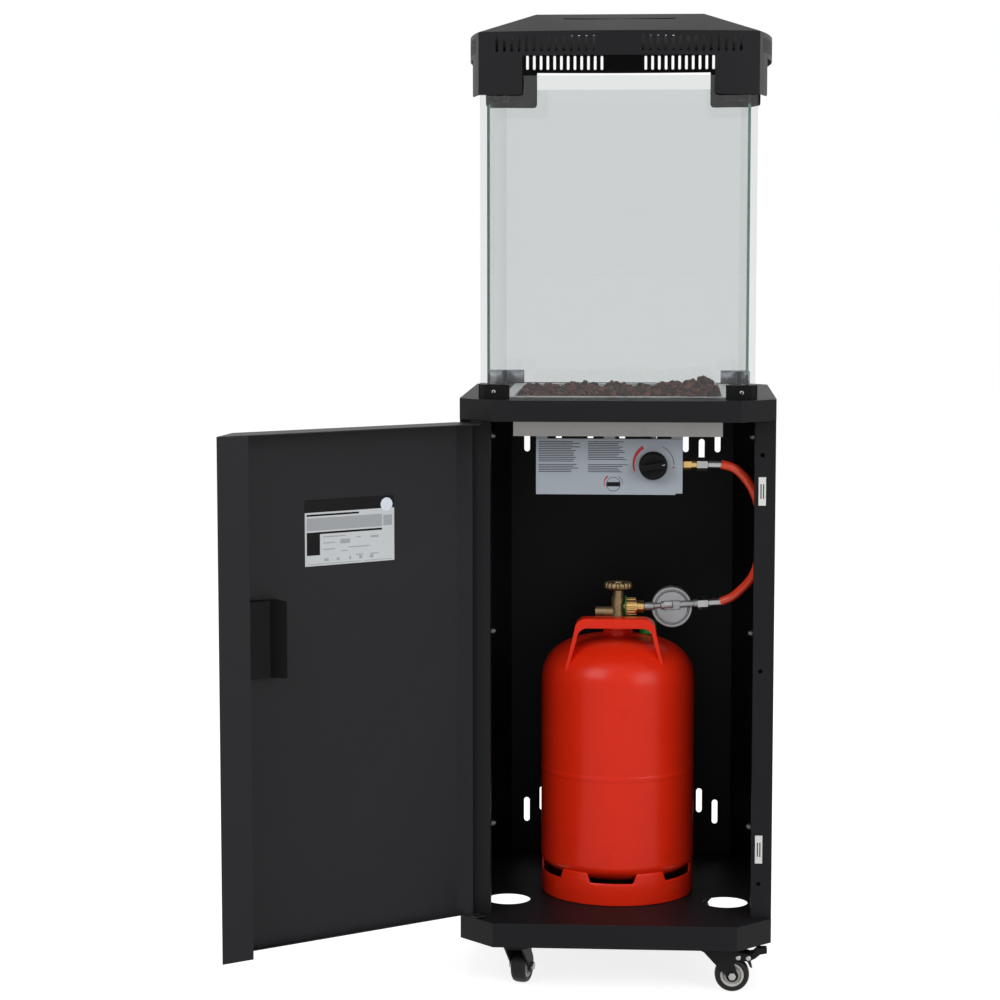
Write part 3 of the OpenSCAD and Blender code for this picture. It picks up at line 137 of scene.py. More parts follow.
class ShaderEffects:
    """Builds each shared shader node group once and hands it out."""

    GRAIN_DETAIL = 2.0
    TONE_DETAIL = 4.0
    EDGE_SAMPLES = 4
    PATCH_DETAIL = 6.0
    PATCH_ROUGHNESS = 0.65
    PATCH_GAIN = 5.0

    def __init__(self) -> None:
        """Starts with no group built."""
        self._built: dict[SharedEffect, bpy.types.NodeTree] = {}

    def get(self, effect: SharedEffect) -> bpy.types.NodeTree:
        """Returns the node group of an effect.

        Args:
            effect: The effect that a finish asks for.

        Returns:
            The node group, built at the first call.
        """
        if effect not in self._built:
            maker = {
                SharedEffect.GRAIN: self._grain,
                SharedEffect.EDGE: self._edge,
                SharedEffect.SMUDGE: self._smudge,
                SharedEffect.BRUSH: self._brush,
            }[effect]
            self._built[effect] = maker(effect.value)
        return self._built[effect]

    @staticmethod
    def _tree(name: str, inputs: dict[str, float], outputs: dict[str, str]) -> tuple[Any, Any, Any]:
        """Makes an empty group with named sockets.

        Args:
            name: The group's name.
            inputs: Input names with their default values.
            outputs: Output names with their socket types.

        Returns:
            The tree, its input node and its output node.
        """
        tree = bpy.data.node_groups.new(name, "ShaderNodeTree")
        for label, value in inputs.items():
            socket = tree.interface.new_socket(label, in_out="INPUT", socket_type="NodeSocketFloat")
            socket.default_value = value
        for label, kind in outputs.items():
            tree.interface.new_socket(label, in_out="OUTPUT", socket_type=kind)
        return tree, tree.nodes.new("NodeGroupInput"), tree.nodes.new("NodeGroupOutput")

    def _grain(self, name: str) -> bpy.types.NodeTree:
        """Makes the fine bumps of a coated or moulded surface, and a slow drift of its tone.

        Args:
            name: The group's name.

        Returns:
            The node group.
        """
        tree, source, result = self._tree(
            name, {"Scale": 900.0, "Drift": 9.0}, {"Height": "NodeSocketFloat", "Tone": "NodeSocketFloat"}
        )
        place = tree.nodes.new("ShaderNodeTexCoord")
        layers = (("Scale", "Height", self.GRAIN_DETAIL), ("Drift", "Tone", self.TONE_DETAIL))
        for label, socket, detail in layers:
            noise = tree.nodes.new("ShaderNodeTexNoise")
            noise.inputs["Detail"].default_value = detail
            tree.links.new(place.outputs["Object"], noise.inputs["Vector"])
            tree.links.new(source.outputs[label], noise.inputs["Scale"])
            tree.links.new(noise.outputs[0], result.inputs[socket])
        return tree

    def _edge(self, name: str) -> bpy.types.NodeTree:
        """Rounds the shading of sharp folds and marks where they are, for a finish's painted highlight.

        Args:
            name: The group's name.

        Returns:
            The node group.
        """
        tree, source, result = self._tree(
            name, {"Radius": 0.001, "Width": 3.0}, {"Normal": "NodeSocketVector", "Edge": "NodeSocketFloat"}
        )
        bevel = tree.nodes.new("ShaderNodeBevel")
        bevel.samples = self.EDGE_SAMPLES
        geometry = tree.nodes.new("ShaderNodeNewGeometry")
        dot = tree.nodes.new("ShaderNodeVectorMath")
        dot.operation = "DOT_PRODUCT"
        tree.links.new(source.outputs["Radius"], bevel.inputs["Radius"])
        tree.links.new(bevel.outputs[0], dot.inputs[0])
        tree.links.new(geometry.outputs["Normal"], dot.inputs[1])
        turned = add_math(tree, "SUBTRACT", 1.0, dot.outputs["Value"])
        edge = add_math(tree, "MULTIPLY", turned, source.outputs["Width"], clamp=True)
        tree.links.new(bevel.outputs[0], result.inputs["Normal"])
        tree.links.new(edge, result.inputs["Edge"])
        return tree

    def _smudge(self, name: str) -> bpy.types.NodeTree:
        """Makes uneven patches, such as dust, finger marks or tarnish.

        Args:
            name: The group's name.

        Returns:
            The node group.
        """
        tree, source, result = self._tree(
            name, {"Scale": 14.0, "Amount": 0.3, "Level": 0.5}, {"Mask": "NodeSocketFloat"}
        )
        place = tree.nodes.new("ShaderNodeTexCoord")
        noise = tree.nodes.new("ShaderNodeTexNoise")
        noise.inputs["Detail"].default_value = self.PATCH_DETAIL
        noise.inputs["Roughness"].default_value = self.PATCH_ROUGHNESS
        tree.links.new(place.outputs["Object"], noise.inputs["Vector"])
        tree.links.new(source.outputs["Scale"], noise.inputs["Scale"])
        above = add_math(tree, "SUBTRACT", noise.outputs[0], source.outputs["Level"])
        sharp = add_math(tree, "MULTIPLY", above, self.PATCH_GAIN, clamp=True)
        mask = add_math(tree, "MULTIPLY", sharp, source.outputs["Amount"])
        tree.links.new(mask, result.inputs["Mask"])
        return tree

    def _brush(self, name: str) -> bpy.types.NodeTree:
        """Makes long fine lines along X, as a belt leaves them on sheet steel.

        Args:
            name: The group's name.

        Returns:
            The node group.
        """
        tree, source, result = self._tree(
            name, {"Along": 6.0, "Across": 900.0}, {"Height": "NodeSocketFloat"}
        )
        place = tree.nodes.new("ShaderNodeTexCoord")
        size = tree.nodes.new("ShaderNodeCombineXYZ")
        stretch = tree.nodes.new("ShaderNodeVectorMath")
        stretch.operation = "MULTIPLY"
        noise = tree.nodes.new("ShaderNodeTexNoise")
        noise.inputs["Scale"].default_value = 1.0
        tree.links.new(source.outputs["Along"], size.inputs["X"])
        tree.links.new(source.outputs["Across"], size.inputs["Y"])
        tree.links.new(source.outputs["Across"], size.inputs["Z"])
        tree.links.new(place.outputs["Object"], stretch.inputs[0])
        tree.links.new(size.outputs[0], stretch.inputs[1])
        tree.links.new(stretch.outputs[0], noise.inputs["Vector"])
        tree.links.new(noise.outputs[0], result.inputs["Height"])
        return tree


EFFECTS = ShaderEffects()


def new_material(name: str) -> tuple[bpy.types.Material, Any, Any]:
    """Makes an empty node material.

    Args:
        name: The material's name.

    Returns:
        The material, its node tree and its Principled BSDF.
    """
    material = bpy.data.materials.new(name)
    material.use_nodes = True
    tree = material.node_tree
    return material, tree, tree.nodes["Principled BSDF"]


def place_effect(tree: Any, effect: SharedEffect, **values: float) -> Any:
    """Puts a shared effect into a material with its own values.

    Args:
        tree: The material's node tree.
        effect: The effect to place.
        **values: Input names, lower case, with their values.

    Returns:
        The group node.
    """
    node = tree.nodes.new("ShaderNodeGroup")
    node.node_tree = EFFECTS.get(effect)
    for label, value in values.items():
        node.inputs[label.title()].default_value = value
    return node


def feed(tree: Any, value: Any, socket: Any) -> None:
    """Links an input to a socket or sets its value.

    Args:
        tree: The node tree.
        value: A socket or a plain value.
        socket: The input that gets it.
    """
    if isinstance(value, bpy.types.NodeSocket):
        tree.links.new(value, socket)
    else:
        socket.default_value = value


def add_math(tree: Any, operation: str, *values: Any, clamp: bool = False) -> Any:
    """Adds a math node to a shader tree.

    Args:
        tree: The node tree.
        operation: What the node works out.
        *values: Its inputs in order, each a socket or a number.
        clamp: Whether the result stays between zero and one.

    Returns:
        The result's socket.
    """
    node = tree.nodes.new("ShaderNodeMath")
    node.operation = operation
    node.use_clamp = clamp
    for value, socket in zip(values, node.inputs):
        feed(tree, value, socket)
    return node.outputs[0]


def mix_color(tree: Any, factor: Any, first: Any, second: Any) -> Any:
    """Mixes two colours by a mask.

    Args:
        tree: The material's node tree.
        factor: Socket of the mask.
        first: Colour, or socket, where the mask is zero.
        second: Colour, or socket, where the mask is one.

    Returns:
        The mixed colour's socket.
    """
    node = tree.nodes.new("ShaderNodeMix")
    node.data_type = "RGBA"
    tree.links.new(factor, node.inputs["Factor"])
    for value, socket in ((first, node.inputs[MIX_FIRST]), (second, node.inputs[MIX_SECOND])):
        if isinstance(value, bpy.types.NodeSocket):
            tree.links.new(value, socket)
        else:
            socket.default_value = (*value, 1.0)
    return node.outputs[MIX_RESULT]


@dataclass(frozen=True)
class SolidFinish:
    """An opaque finish: paint, plated or cast metal, plastic or rubber.

    The tone drifts between two colours, folds and edges show a third as a painted highlight, and
    patches of dust or tarnish a fourth.
    """

    name: str
    slot: str
    color: Color
    drift_color: Color
    # Edge colour and edge amount: a painted highlight along folds and edges
    edge_color: Color
    patch_color: Color
    roughness: float
    rough_spread: float = 0.08
    metallic: float = 0.0
    specular: float = 0.5
    coat: float = 0.0
    coat_roughness: float = 0.08
    grain: float = 900.0
    drift: float = 9.0
    grain_depth: float = 0.00006
    edge_radius: float = 0.0008
    edge_highlight_amount: float = 1.2
    patch_scale: float = 14.0
    patch_amount: float = 0.2
    patch_level: float = 0.52
    brushed: bool = False

    def build(self) -> bpy.types.Material:
        """Builds the material.

        Returns:
            The node material of this finish.
        """
        material, tree, shader = new_material(self.name)
        grain = place_effect(tree, SharedEffect.GRAIN, scale=self.grain, drift=self.drift)
        edge = place_effect(tree, SharedEffect.EDGE, radius=self.edge_radius, width=self.edge_highlight_amount)
        patch = place_effect(
            tree, SharedEffect.SMUDGE,
            scale=self.patch_scale, amount=self.patch_amount, level=self.patch_level,
        )
        tone = mix_color(tree, grain.outputs["Tone"], self.color, self.drift_color)
        tone = mix_color(tree, patch.outputs["Mask"], tone, self.patch_color)
        # Painted highlight: a lighter colour on the band that the bevel marks along folds and edges
        tone = mix_color(tree, edge.outputs["Edge"], tone, self.edge_color)
        tree.links.new(tone, shader.inputs["Base Color"])
        smoothest = self.roughness - self.rough_spread / 2
        rough = add_math(
            tree, "MULTIPLY_ADD", grain.outputs["Tone"], self.rough_spread, smoothest, clamp=True
        )
        tree.links.new(rough, shader.inputs["Roughness"])
        bump = tree.nodes.new("ShaderNodeBump")
        bump.inputs["Strength"].default_value = 1.0
        bump.inputs["Distance"].default_value = self.grain_depth
        height = grain.outputs["Height"]
        if self.brushed:
            height = place_effect(tree, SharedEffect.BRUSH).outputs["Height"]
        tree.links.new(height, bump.inputs["Height"])
        tree.links.new(edge.outputs["Normal"], bump.inputs["Normal"])
        tree.links.new(bump.outputs[0], shader.inputs["Normal"])
        shader.inputs["Metallic"].default_value = self.metallic
        shader.inputs["Specular IOR Level"].default_value = self.specular
        shader.inputs["Coat Weight"].default_value = self.coat
        shader.inputs["Coat Roughness"].default_value = self.coat_roughness
        return material


@dataclass(frozen=True)
class GlassFinish:
    """Clear pane with green cut edges."""

    name: str
    slot: str
    color: Color
    edge_color: Color
    thin_axis: ThinAxis
    edge_limit: float = 0.5
    ior: float = 1.45

    def build(self) -> bpy.types.Material:
        """Builds the material.

        Returns:
            The glass material, green on the faces that don't look along the pane's thin axis.
        """
        material, tree, shader = new_material(self.name)
        surface = tree.nodes.new("ShaderNodeNewGeometry")
        axes = tree.nodes.new("ShaderNodeSeparateXYZ")
        tree.links.new(surface.outputs["True Normal"], axes.inputs[0])
        size = add_math(tree, "ABSOLUTE", axes.outputs[self.thin_axis.value])
        cut = add_math(tree, "LESS_THAN", size, self.edge_limit)
        tone = mix_color(tree, cut, self.color, self.edge_color)
        tree.links.new(tone, shader.inputs["Base Color"])
        shader.inputs["Transmission Weight"].default_value = 1.0
        shader.inputs["Roughness"].default_value = 0.0
        shader.inputs["IOR"].default_value = self.ior
        return material


@dataclass(frozen=True)
class StoneFinish:
    """Porous lava stone with rusty and ashen patches."""

    name: str
    slot: str
    dark: Color
    rusty: Color
    ashen: Color
    grain: float = 420.0
    drift: float = 70.0
    rust_scale: float = 62.0
    rust_amount: float = 0.95
    rust_level: float = 0.47
    ash_scale: float = 210.0
    ash_amount: float = 0.45
    ash_level: float = 0.57
    pore_scale: float = 330.0
    pore_depth: float = 0.0016
    roughness: float = 0.92
    specular: float = 0.2

    def build(self) -> bpy.types.Material:
        """Builds the material.

        Returns:
            The stone material with pores in its bump.
        """
        material, tree, shader = new_material(self.name)
        grain = place_effect(tree, SharedEffect.GRAIN, scale=self.grain, drift=self.drift)
        rust = place_effect(
            tree, SharedEffect.SMUDGE,
            scale=self.rust_scale, amount=self.rust_amount, level=self.rust_level,
        )
        ash = place_effect(
            tree, SharedEffect.SMUDGE,
            scale=self.ash_scale, amount=self.ash_amount, level=self.ash_level,
        )
        place = tree.nodes.new("ShaderNodeTexCoord")
        pores = tree.nodes.new("ShaderNodeTexVoronoi")
        pores.inputs["Scale"].default_value = self.pore_scale
        tree.links.new(place.outputs["Object"], pores.inputs["Vector"])
        tone = mix_color(tree, rust.outputs["Mask"], self.dark, self.rusty)
        tone = mix_color(tree, ash.outputs["Mask"], tone, self.ashen)
        tree.links.new(tone, shader.inputs["Base Color"])
        height = add_math(tree, "ADD", pores.outputs["Distance"], grain.outputs["Height"])
        bump = tree.nodes.new("ShaderNodeBump")
        bump.inputs["Distance"].default_value = self.pore_depth
        tree.links.new(height, bump.inputs["Height"])
        tree.links.new(bump.outputs[0], shader.inputs["Normal"])
        shader.inputs["Roughness"].default_value = self.roughness
        shader.inputs["Specular IOR Level"].default_value = self.specular
        return material


BLACK_COAT = SolidFinish(
    "black_powder_coat", "black_steel",
    color=(0.0066, 0.0067, 0.0080), drift_color=(0.0092, 0.0093, 0.0108),
    edge_color=(0.060, 0.060, 0.064), patch_color=(0.013, 0.013, 0.014),
    roughness=0.50, rough_spread=0.10, specular=0.14, grain=1500.0, drift=5.0, grain_depth=0.00004,
    edge_radius=0.0012, edge_highlight_amount=1.0, patch_scale=6.0, patch_amount=0.25,
)
# The cabinet's black coat painted about half again lighter on the door: painted light that stands in for the
# light falling on it
DOOR_COAT_PAINTED_LIGHTER = SolidFinish(
    "door_coat_painted_lighter", "black_steel",
    color=(0.0125, 0.0124, 0.0146), drift_color=(0.0165, 0.0163, 0.0188),
    edge_color=(0.060, 0.060, 0.064), patch_color=(0.021, 0.021, 0.023),
    roughness=0.48, rough_spread=0.10, specular=0.17, grain=1500.0, drift=3.0, grain_depth=0.00004,
    edge_radius=0.0012, edge_highlight_amount=1.0, patch_scale=6.0, patch_amount=0.25,
)
PANEL_COAT = SolidFinish(
    "silver_panel_coat", "panel_silver",
    color=(0.385, 0.425, 0.475), drift_color=(0.415, 0.455, 0.505),
    edge_color=(0.50, 0.53, 0.58), patch_color=(0.36, 0.39, 0.44),
    roughness=0.46, rough_spread=0.06, specular=0.25, grain=1200.0, drift=22.0, grain_depth=0.00003,
    edge_radius=0.0006,
)
STAINLESS = SolidFinish(
    "brushed_stainless", "stainless",
    color=(0.215, 0.208, 0.200), drift_color=(0.255, 0.248, 0.240),
    edge_color=(0.42, 0.42, 0.41), patch_color=(0.17, 0.165, 0.16),
    roughness=0.36, rough_spread=0.12, metallic=1.0, grain_depth=0.00005, drift=30.0, brushed=True,
)
# A paler, less metallic copy of the pan's stainless: painted light on the burner pan's rim and inner walls
PAINTED_LIT_STEEL = SolidFinish(
    "painted_lit_steel", "stainless",
    color=(0.86, 0.86, 0.87), drift_color=(0.92, 0.92, 0.93),
    edge_color=(0.95, 0.95, 0.95), patch_color=(0.76, 0.75, 0.74),
    roughness=0.36, rough_spread=0.12, metallic=0.35, grain_depth=0.00004, drift=30.0, brushed=True,
)
SATIN_STEEL = SolidFinish(
    "satin_steel", "stainless",
    color=(0.68, 0.71, 0.78), drift_color=(0.76, 0.79, 0.86),
    edge_color=(0.86, 0.87, 0.90), patch_color=(0.58, 0.61, 0.68),
    roughness=0.42, rough_spread=0.10, metallic=0.45, grain_depth=0.00004, drift=40.0,
)
ZINC = SolidFinish(
    "zinc_plate", "zinc",
    color=(0.34, 0.35, 0.35), drift_color=(0.41, 0.41, 0.40),
    edge_color=(0.62, 0.62, 0.61), patch_color=(0.20, 0.185, 0.155),
    roughness=0.30, rough_spread=0.16, metallic=1.0, grain=700.0, drift=160.0, grain_depth=0.00004,
    edge_radius=0.0004, patch_scale=220.0, patch_amount=0.5,
)
DULL_ZINC = SolidFinish(
    "dull_zinc", "zinc",
    color=(0.085, 0.085, 0.084), drift_color=(0.120, 0.119, 0.116),
    edge_color=(0.26, 0.26, 0.25), patch_color=(0.050, 0.048, 0.044),
    roughness=0.46, rough_spread=0.14, metallic=1.0, grain=700.0, drift=160.0, grain_depth=0.00004,
    edge_radius=0.0004, patch_scale=220.0, patch_amount=0.4,
)
CAST_ALLOY = SolidFinish(
    "cast_alloy", "cast_zinc",
    color=(0.27, 0.275, 0.285), drift_color=(0.33, 0.335, 0.345),
    edge_color=(0.52, 0.53, 0.54), patch_color=(0.20, 0.20, 0.21),
    roughness=0.44, rough_spread=0.14, metallic=0.85, grain=800.0, drift=90.0, grain_depth=0.0001,
    edge_radius=0.0007, patch_scale=120.0, patch_amount=0.35,
)
BRASS = SolidFinish(
    "bright_brass", "brass",
    color=(0.58, 0.38, 0.13), drift_color=(0.64, 0.44, 0.18),
    edge_color=(0.80, 0.62, 0.34), patch_color=(0.24, 0.15, 0.06),
    roughness=0.30, rough_spread=0.15, metallic=1.0, grain=500.0, drift=110.0, grain_depth=0.00005,
    edge_radius=0.0005, patch_scale=190.0, patch_amount=0.6,
)
OLD_BRASS = SolidFinish(
    "tarnished_brass", "brass",
    color=(0.24, 0.17, 0.085), drift_color=(0.34, 0.25, 0.13),
    edge_color=(0.50, 0.39, 0.22), patch_color=(0.11, 0.08, 0.045),
    roughness=0.46, rough_spread=0.18, metallic=0.8, grain=420.0, drift=120.0, grain_depth=0.00022,
    edge_radius=0.0006, patch_scale=160.0, patch_amount=0.75, patch_level=0.48,
)
BOTTLE_PAINT = SolidFinish(
    "bottle_paint", "bottle_red",
    color=(0.78, 0.021, 0.004), drift_color=(0.86, 0.028, 0.006),
    edge_color=(0.90, 0.06, 0.020), patch_color=(0.56, 0.013, 0.003),
    roughness=0.30, rough_spread=0.10, specular=0.20, coat=0.03, grain=260.0, drift=16.0,
    grain_depth=0.00006, edge_radius=0.0010, edge_highlight_amount=1.6, patch_scale=24.0, patch_amount=0.35,
    patch_level=0.56,
)
HOSE_RUBBER = SolidFinish(
    "hose_rubber", "hose_red",
    color=(0.94, 0.062, 0.022), drift_color=(0.97, 0.078, 0.030),
    edge_color=(0.97, 0.13, 0.06), patch_color=(0.82, 0.042, 0.014),
    roughness=0.24, rough_spread=0.08, specular=0.45, grain=1400.0, drift=60.0, grain_depth=0.00005,
    patch_scale=70.0,
)
BLACK_PLASTIC = SolidFinish(
    "black_plastic", "black_plastic",
    color=(0.0045, 0.0045, 0.0047), drift_color=(0.0065, 0.0065, 0.0067),
    edge_color=(0.024, 0.024, 0.025), patch_color=(0.008, 0.008, 0.008),
    roughness=0.42, rough_spread=0.10, specular=0.09, grain=1300.0, drift=60.0, grain_depth=0.00006,
    edge_radius=0.0006,
)
WHITE_PLASTIC = SolidFinish(
    "white_plastic", "white_plastic",
    color=(0.78, 0.78, 0.76), drift_color=(0.82, 0.82, 0.80),
    edge_color=(0.88, 0.88, 0.87), patch_color=(0.64, 0.63, 0.60),
    roughness=0.34, rough_spread=0.08, grain=1300.0, drift=90.0, grain_depth=0.00003, edge_radius=0.0005,
)
GREEN_PLASTIC = SolidFinish(
    "green_plastic", "green_plastic",
    color=(0.006, 0.17, 0.020), drift_color=(0.009, 0.21, 0.028),
    edge_color=(0.05, 0.36, 0.09), patch_color=(0.005, 0.11, 0.016),
    roughness=0.30, rough_spread=0.10, grain=900.0, drift=120.0, grain_depth=0.00004, edge_radius=0.0005,
)
HUB_PLASTIC = SolidFinish(
    "hub_plastic", "hub_plastic",
    color=(0.60, 0.58, 0.55), drift_color=(0.66, 0.64, 0.61),
    edge_color=(0.72, 0.70, 0.67), patch_color=(0.42, 0.38, 0.34),
    roughness=0.46, rough_spread=0.10, grain=900.0, drift=140.0, grain_depth=0.00004, edge_radius=0.0005,
    patch_scale=130.0,
)
TYRE_RUBBER = SolidFinish(
    "tyre_rubber", "tyre",
    color=(0.008, 0.008, 0.008), drift_color=(0.013, 0.012, 0.012),
    edge_color=(0.028, 0.027, 0.026), patch_color=(0.030, 0.028, 0.025),
    roughness=0.50, rough_spread=0.18, specular=0.22, grain=900.0, drift=130.0, grain_depth=0.0001,
    edge_radius=0.0006, patch_scale=150.0, patch_amount=0.4,
)
CERAMIC = SolidFinish(
    "white_ceramic", "ceramic",
    color=(0.74, 0.70, 0.60), drift_color=(0.80, 0.76, 0.66),
    edge_color=(0.86, 0.83, 0.75), patch_color=(0.55, 0.48, 0.38),
    roughness=0.28, rough_spread=0.08, grain=700.0, drift=150.0, grain_depth=0.00004, edge_radius=0.0005,
)
FRONT_GLASS = GlassFinish(
    "front_pane", "glass",
    color=(0.765, 0.785, 0.785), edge_color=(0.13, 0.27, 0.22), thin_axis=ThinAxis.DEPTH,
)
SIDE_GLASS = GlassFinish(
    "side_pane", "glass",
    color=(0.765, 0.785, 0.785), edge_color=(0.13, 0.27, 0.22), thin_axis=ThinAxis.ACROSS,
)
LAVA = StoneFinish(
    "lava_stone", "lava",
    dark=(0.050, 0.016, 0.011), rusty=(0.46, 0.142, 0.086), ashen=(0.70, 0.44, 0.34),
)
# Dark ink of the print, also used as painted shade in the screw sockets
DARK_PRINT_AND_SHADE = SolidFinish(
    "dark_print_and_painted_shade", "black_plastic",
    color=(0.006, 0.006, 0.007), drift_color=(0.009, 0.009, 0.010),
    edge_color=(0.01, 0.01, 0.01), patch_color=(0.015, 0.015, 0.015),
    roughness=0.50, specular=0.10, grain=1200.0, drift=200.0, grain_depth=0.00002, edge_radius=0.0002,
    edge_highlight_amount=0.0,
)
PRINT_GREY = SolidFinish(
    "grey_print", "panel_silver",
    color=(0.070, 0.076, 0.090), drift_color=(0.115, 0.122, 0.140),
    edge_color=(0.1, 0.1, 0.1), patch_color=(0.16, 0.17, 0.19),
    roughness=0.50, specular=0.10, grain=1200.0, drift=300.0, grain_depth=0.00002, edge_radius=0.0002,
    edge_highlight_amount=0.0,
)
PRINT_RED = SolidFinish(
    "red_print", "bottle_red",
    color=(0.42, 0.010, 0.014), drift_color=(0.48, 0.014, 0.018),
    edge_color=(0.45, 0.02, 0.02), patch_color=(0.36, 0.02, 0.02),
    roughness=0.50, grain=1200.0, drift=300.0, grain_depth=0.00002, edge_radius=0.0002, edge_highlight_amount=0.0,
)
PLATE_GREY = SolidFinish(
    "plate_grey", "panel_silver",
    color=(0.40, 0.42, 0.44), drift_color=(0.45, 0.47, 0.49),
    edge_color=(0.42, 0.42, 0.42), patch_color=(0.36, 0.38, 0.40),
    roughness=0.45, grain=1200.0, drift=300.0, grain_depth=0.00002, edge_radius=0.0002, edge_highlight_amount=0.0,
)
SEAL_SILVER = SolidFinish(
    "seal_silver", "zinc",
    color=(0.50, 0.55, 0.62), drift_color=(0.66, 0.70, 0.76),
    edge_color=(0.70, 0.72, 0.76), patch_color=(0.40, 0.46, 0.56),
    roughness=0.30, rough_spread=0.12, metallic=0.7, grain=900.0, drift=160.0, grain_depth=0.00002,
    edge_radius=0.0003,
)
POLE_STEEL = SolidFinish(
    "pole_steel", "black_steel",
    color=(0.030, 0.029, 0.028), drift_color=(0.042, 0.041, 0.040),
    edge_color=(0.10, 0.10, 0.10), patch_color=(0.05, 0.045, 0.04),
    roughness=0.42, rough_spread=0.10, metallic=0.6, grain=900.0, drift=200.0, grain_depth=0.00003,
    edge_radius=0.0003,
)
PLATE_WHITE = SolidFinish(
    "plate_white", "white_plastic",
    color=(0.68, 0.71, 0.73), drift_color=(0.74, 0.77, 0.79),
    edge_color=(0.80, 0.80, 0.80), patch_color=(0.60, 0.63, 0.65),
    roughness=0.40, grain=1200.0, drift=40.0, grain_depth=0.00002, edge_radius=0.0003,
)


class FinishShelf:
    """Builds finishes when they are first asked for and keeps them."""

    def __init__(self) -> None:
        """Starts with no material made."""
        self._made: dict[str, bpy.types.Material] = {}

    def material(self, finish: Any) -> bpy.types.Material:
        """Returns the material of a finish.

        Args:
            finish: Any finish of this script.

        Returns:
            The material, built at the first call.
        """
        if finish.name not in self._made:
            self._made[finish.name] = finish.build()
        return self._made[finish.name]


SHELF = FinishShelf()


class GeometryRecipe:
    """A Geometry Nodes tree that is built in code and then turned into a plain mesh."""

    def __init__(self, name: str) -> None:
        """Starts a tree with a geometry input and output.

        Args:
            name: The tree's name.
        """
        self.tree = bpy.data.node_groups.new(name, "GeometryNodeTree")
        self.tree.interface.new_socket("Geometry", in_out="INPUT", socket_type="NodeSocketGeometry")
        self.tree.interface.new_socket("Geometry", in_out="OUTPUT", socket_type="NodeSocketGeometry")
        self.source = self.tree.nodes.new("NodeGroupInput")
        self.result = self.tree.nodes.new("NodeGroupOutput")
        self._values: dict[str, Any] = {}

    def size(self, label: str, value: Any, kind: str = "NodeSocketFloat") -> Any:
        """Adds a named input.

        Args:
            label: The input's name.
            value: The value that the modifier gets.
            kind: The socket type.

        Returns:
            The input's socket inside the tree.
        """
        item = self.tree.interface.new_socket(label, in_out="INPUT", socket_type=kind)
        self._values[item.identifier] = value
        return self.source.outputs[label]

    def node(self, kind: str, links: dict[Any, Any] | None = None, **settings: Any) -> Any:
        """Adds a node.

        Args:
            kind: The node's type name.
            links: Input names or numbers, each with a socket or a value.
            **settings: Node properties.

        Returns:
            The new node.
        """
        node = self.tree.nodes.new(kind)
        for label, value in settings.items():
            setattr(node, label, value)
        for label, value in (links or {}).items():
            feed(self.tree, value, node.inputs[label])
        return node

    def random(self, low: Any, high: Any, seed: int, vector: bool = True) -> Any:
        """Adds a seeded random value per point.

        Args:
            low: Lowest value.
            high: Highest value.
            seed: Fixed seed.
            vector: True for three numbers, False for one.

        Returns:
            The value's socket.
        """
        first = 0 if vector else 2
        node = self.node("FunctionNodeRandomValue", data_type="FLOAT_VECTOR" if vector else "FLOAT")
        node.inputs[first].default_value = low
        node.inputs[first + 1].default_value = high
        node.inputs["Seed"].default_value = seed
        return node.outputs[0 if vector else 1]

    def finish(self, geometry: Any, finish: Any) -> None:
        """Ends the tree: realized, with flat faces, and given its material.

        Args:
            geometry: Socket of the instances or the mesh.
            finish: The finish of the result.
        """
        real = self.node("GeometryNodeRealizeInstances", {"Geometry": geometry})
        flat = {"Geometry": real.outputs[0], "Shade Smooth": False}
        shade = self.node("GeometryNodeSetShadeSmooth", flat)
        dress = self.node("GeometryNodeSetMaterial", {"Geometry": shade.outputs[0]})
        dress.inputs["Material"].default_value = SHELF.material(finish)
        self.tree.links.new(dress.outputs[0], self.result.inputs[0])

    def make(self, name: str, points: bpy.types.Mesh | None = None) -> bpy.types.Object:
        """Runs the tree and keeps the result as a plain mesh.

        Args:
            name: Name of the new object.
            points: Mesh that goes in, or None for an empty one.

        Returns:
            The object, with no modifier left on it.
        """
        piece = bpy.data.objects.new(name, points or bpy.data.meshes.new(name))
        bpy.context.scene.collection.objects.link(piece)
        modifier = piece.modifiers.new(name, "NODES")
        modifier.node_group = self.tree
        for identifier, value in self._values.items():
            modifier[identifier] = value
        graph = bpy.context.evaluated_depsgraph_get()
        mesh = bpy.data.meshes.new_from_object(piece.evaluated_get(graph))
        piece.modifiers.clear()
        piece.data = mesh
        mesh.name = name
        return piece


def settle(piece: bpy.types.Object, body: str, finish: Any, *nodes: str) -> None:
    """Makes a piece ride and hides the solids that it stands for.

    Args:
        piece: The finished piece.
        body: Body that it rides on.
        finish: Not used.
        *nodes: Solids that it replaces.
    """
    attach(piece, body)
    if nodes:
        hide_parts(*nodes)
    LOG.info("piece %s: %d faces on %s", piece.name, len(getattr(piece.data, "polygons", ())), body)


def from_bmesh(name: str, mesh: bmesh.types.BMesh, finish: Any, angle: float = 35.0) -> bpy.types.Object:
    """Turns a bmesh into an object with outward normals and smooth shading below an angle.

    Args:
        name: Name of the object.
        mesh: The shape, which is freed.
        finish: Its finish.
        angle: Edges sharper than this many degrees stay sharp.

    Returns:
        The new object at the origin.
    """
    bmesh.ops.remove_doubles(mesh, verts=mesh.verts, dist=MERGE_DISTANCE)
    bmesh.ops.recalc_face_normals(mesh, faces=mesh.faces)
    data = bpy.data.meshes.new(name)
    mesh.to_mesh(data)
    mesh.free()
    data.materials.append(SHELF.material(finish))
    data.shade_smooth()
    data.set_sharp_from_angle(angle=math.radians(angle))
    piece = bpy.data.objects.new(name, data)
    bpy.context.scene.collection.objects.link(piece)
    return piece


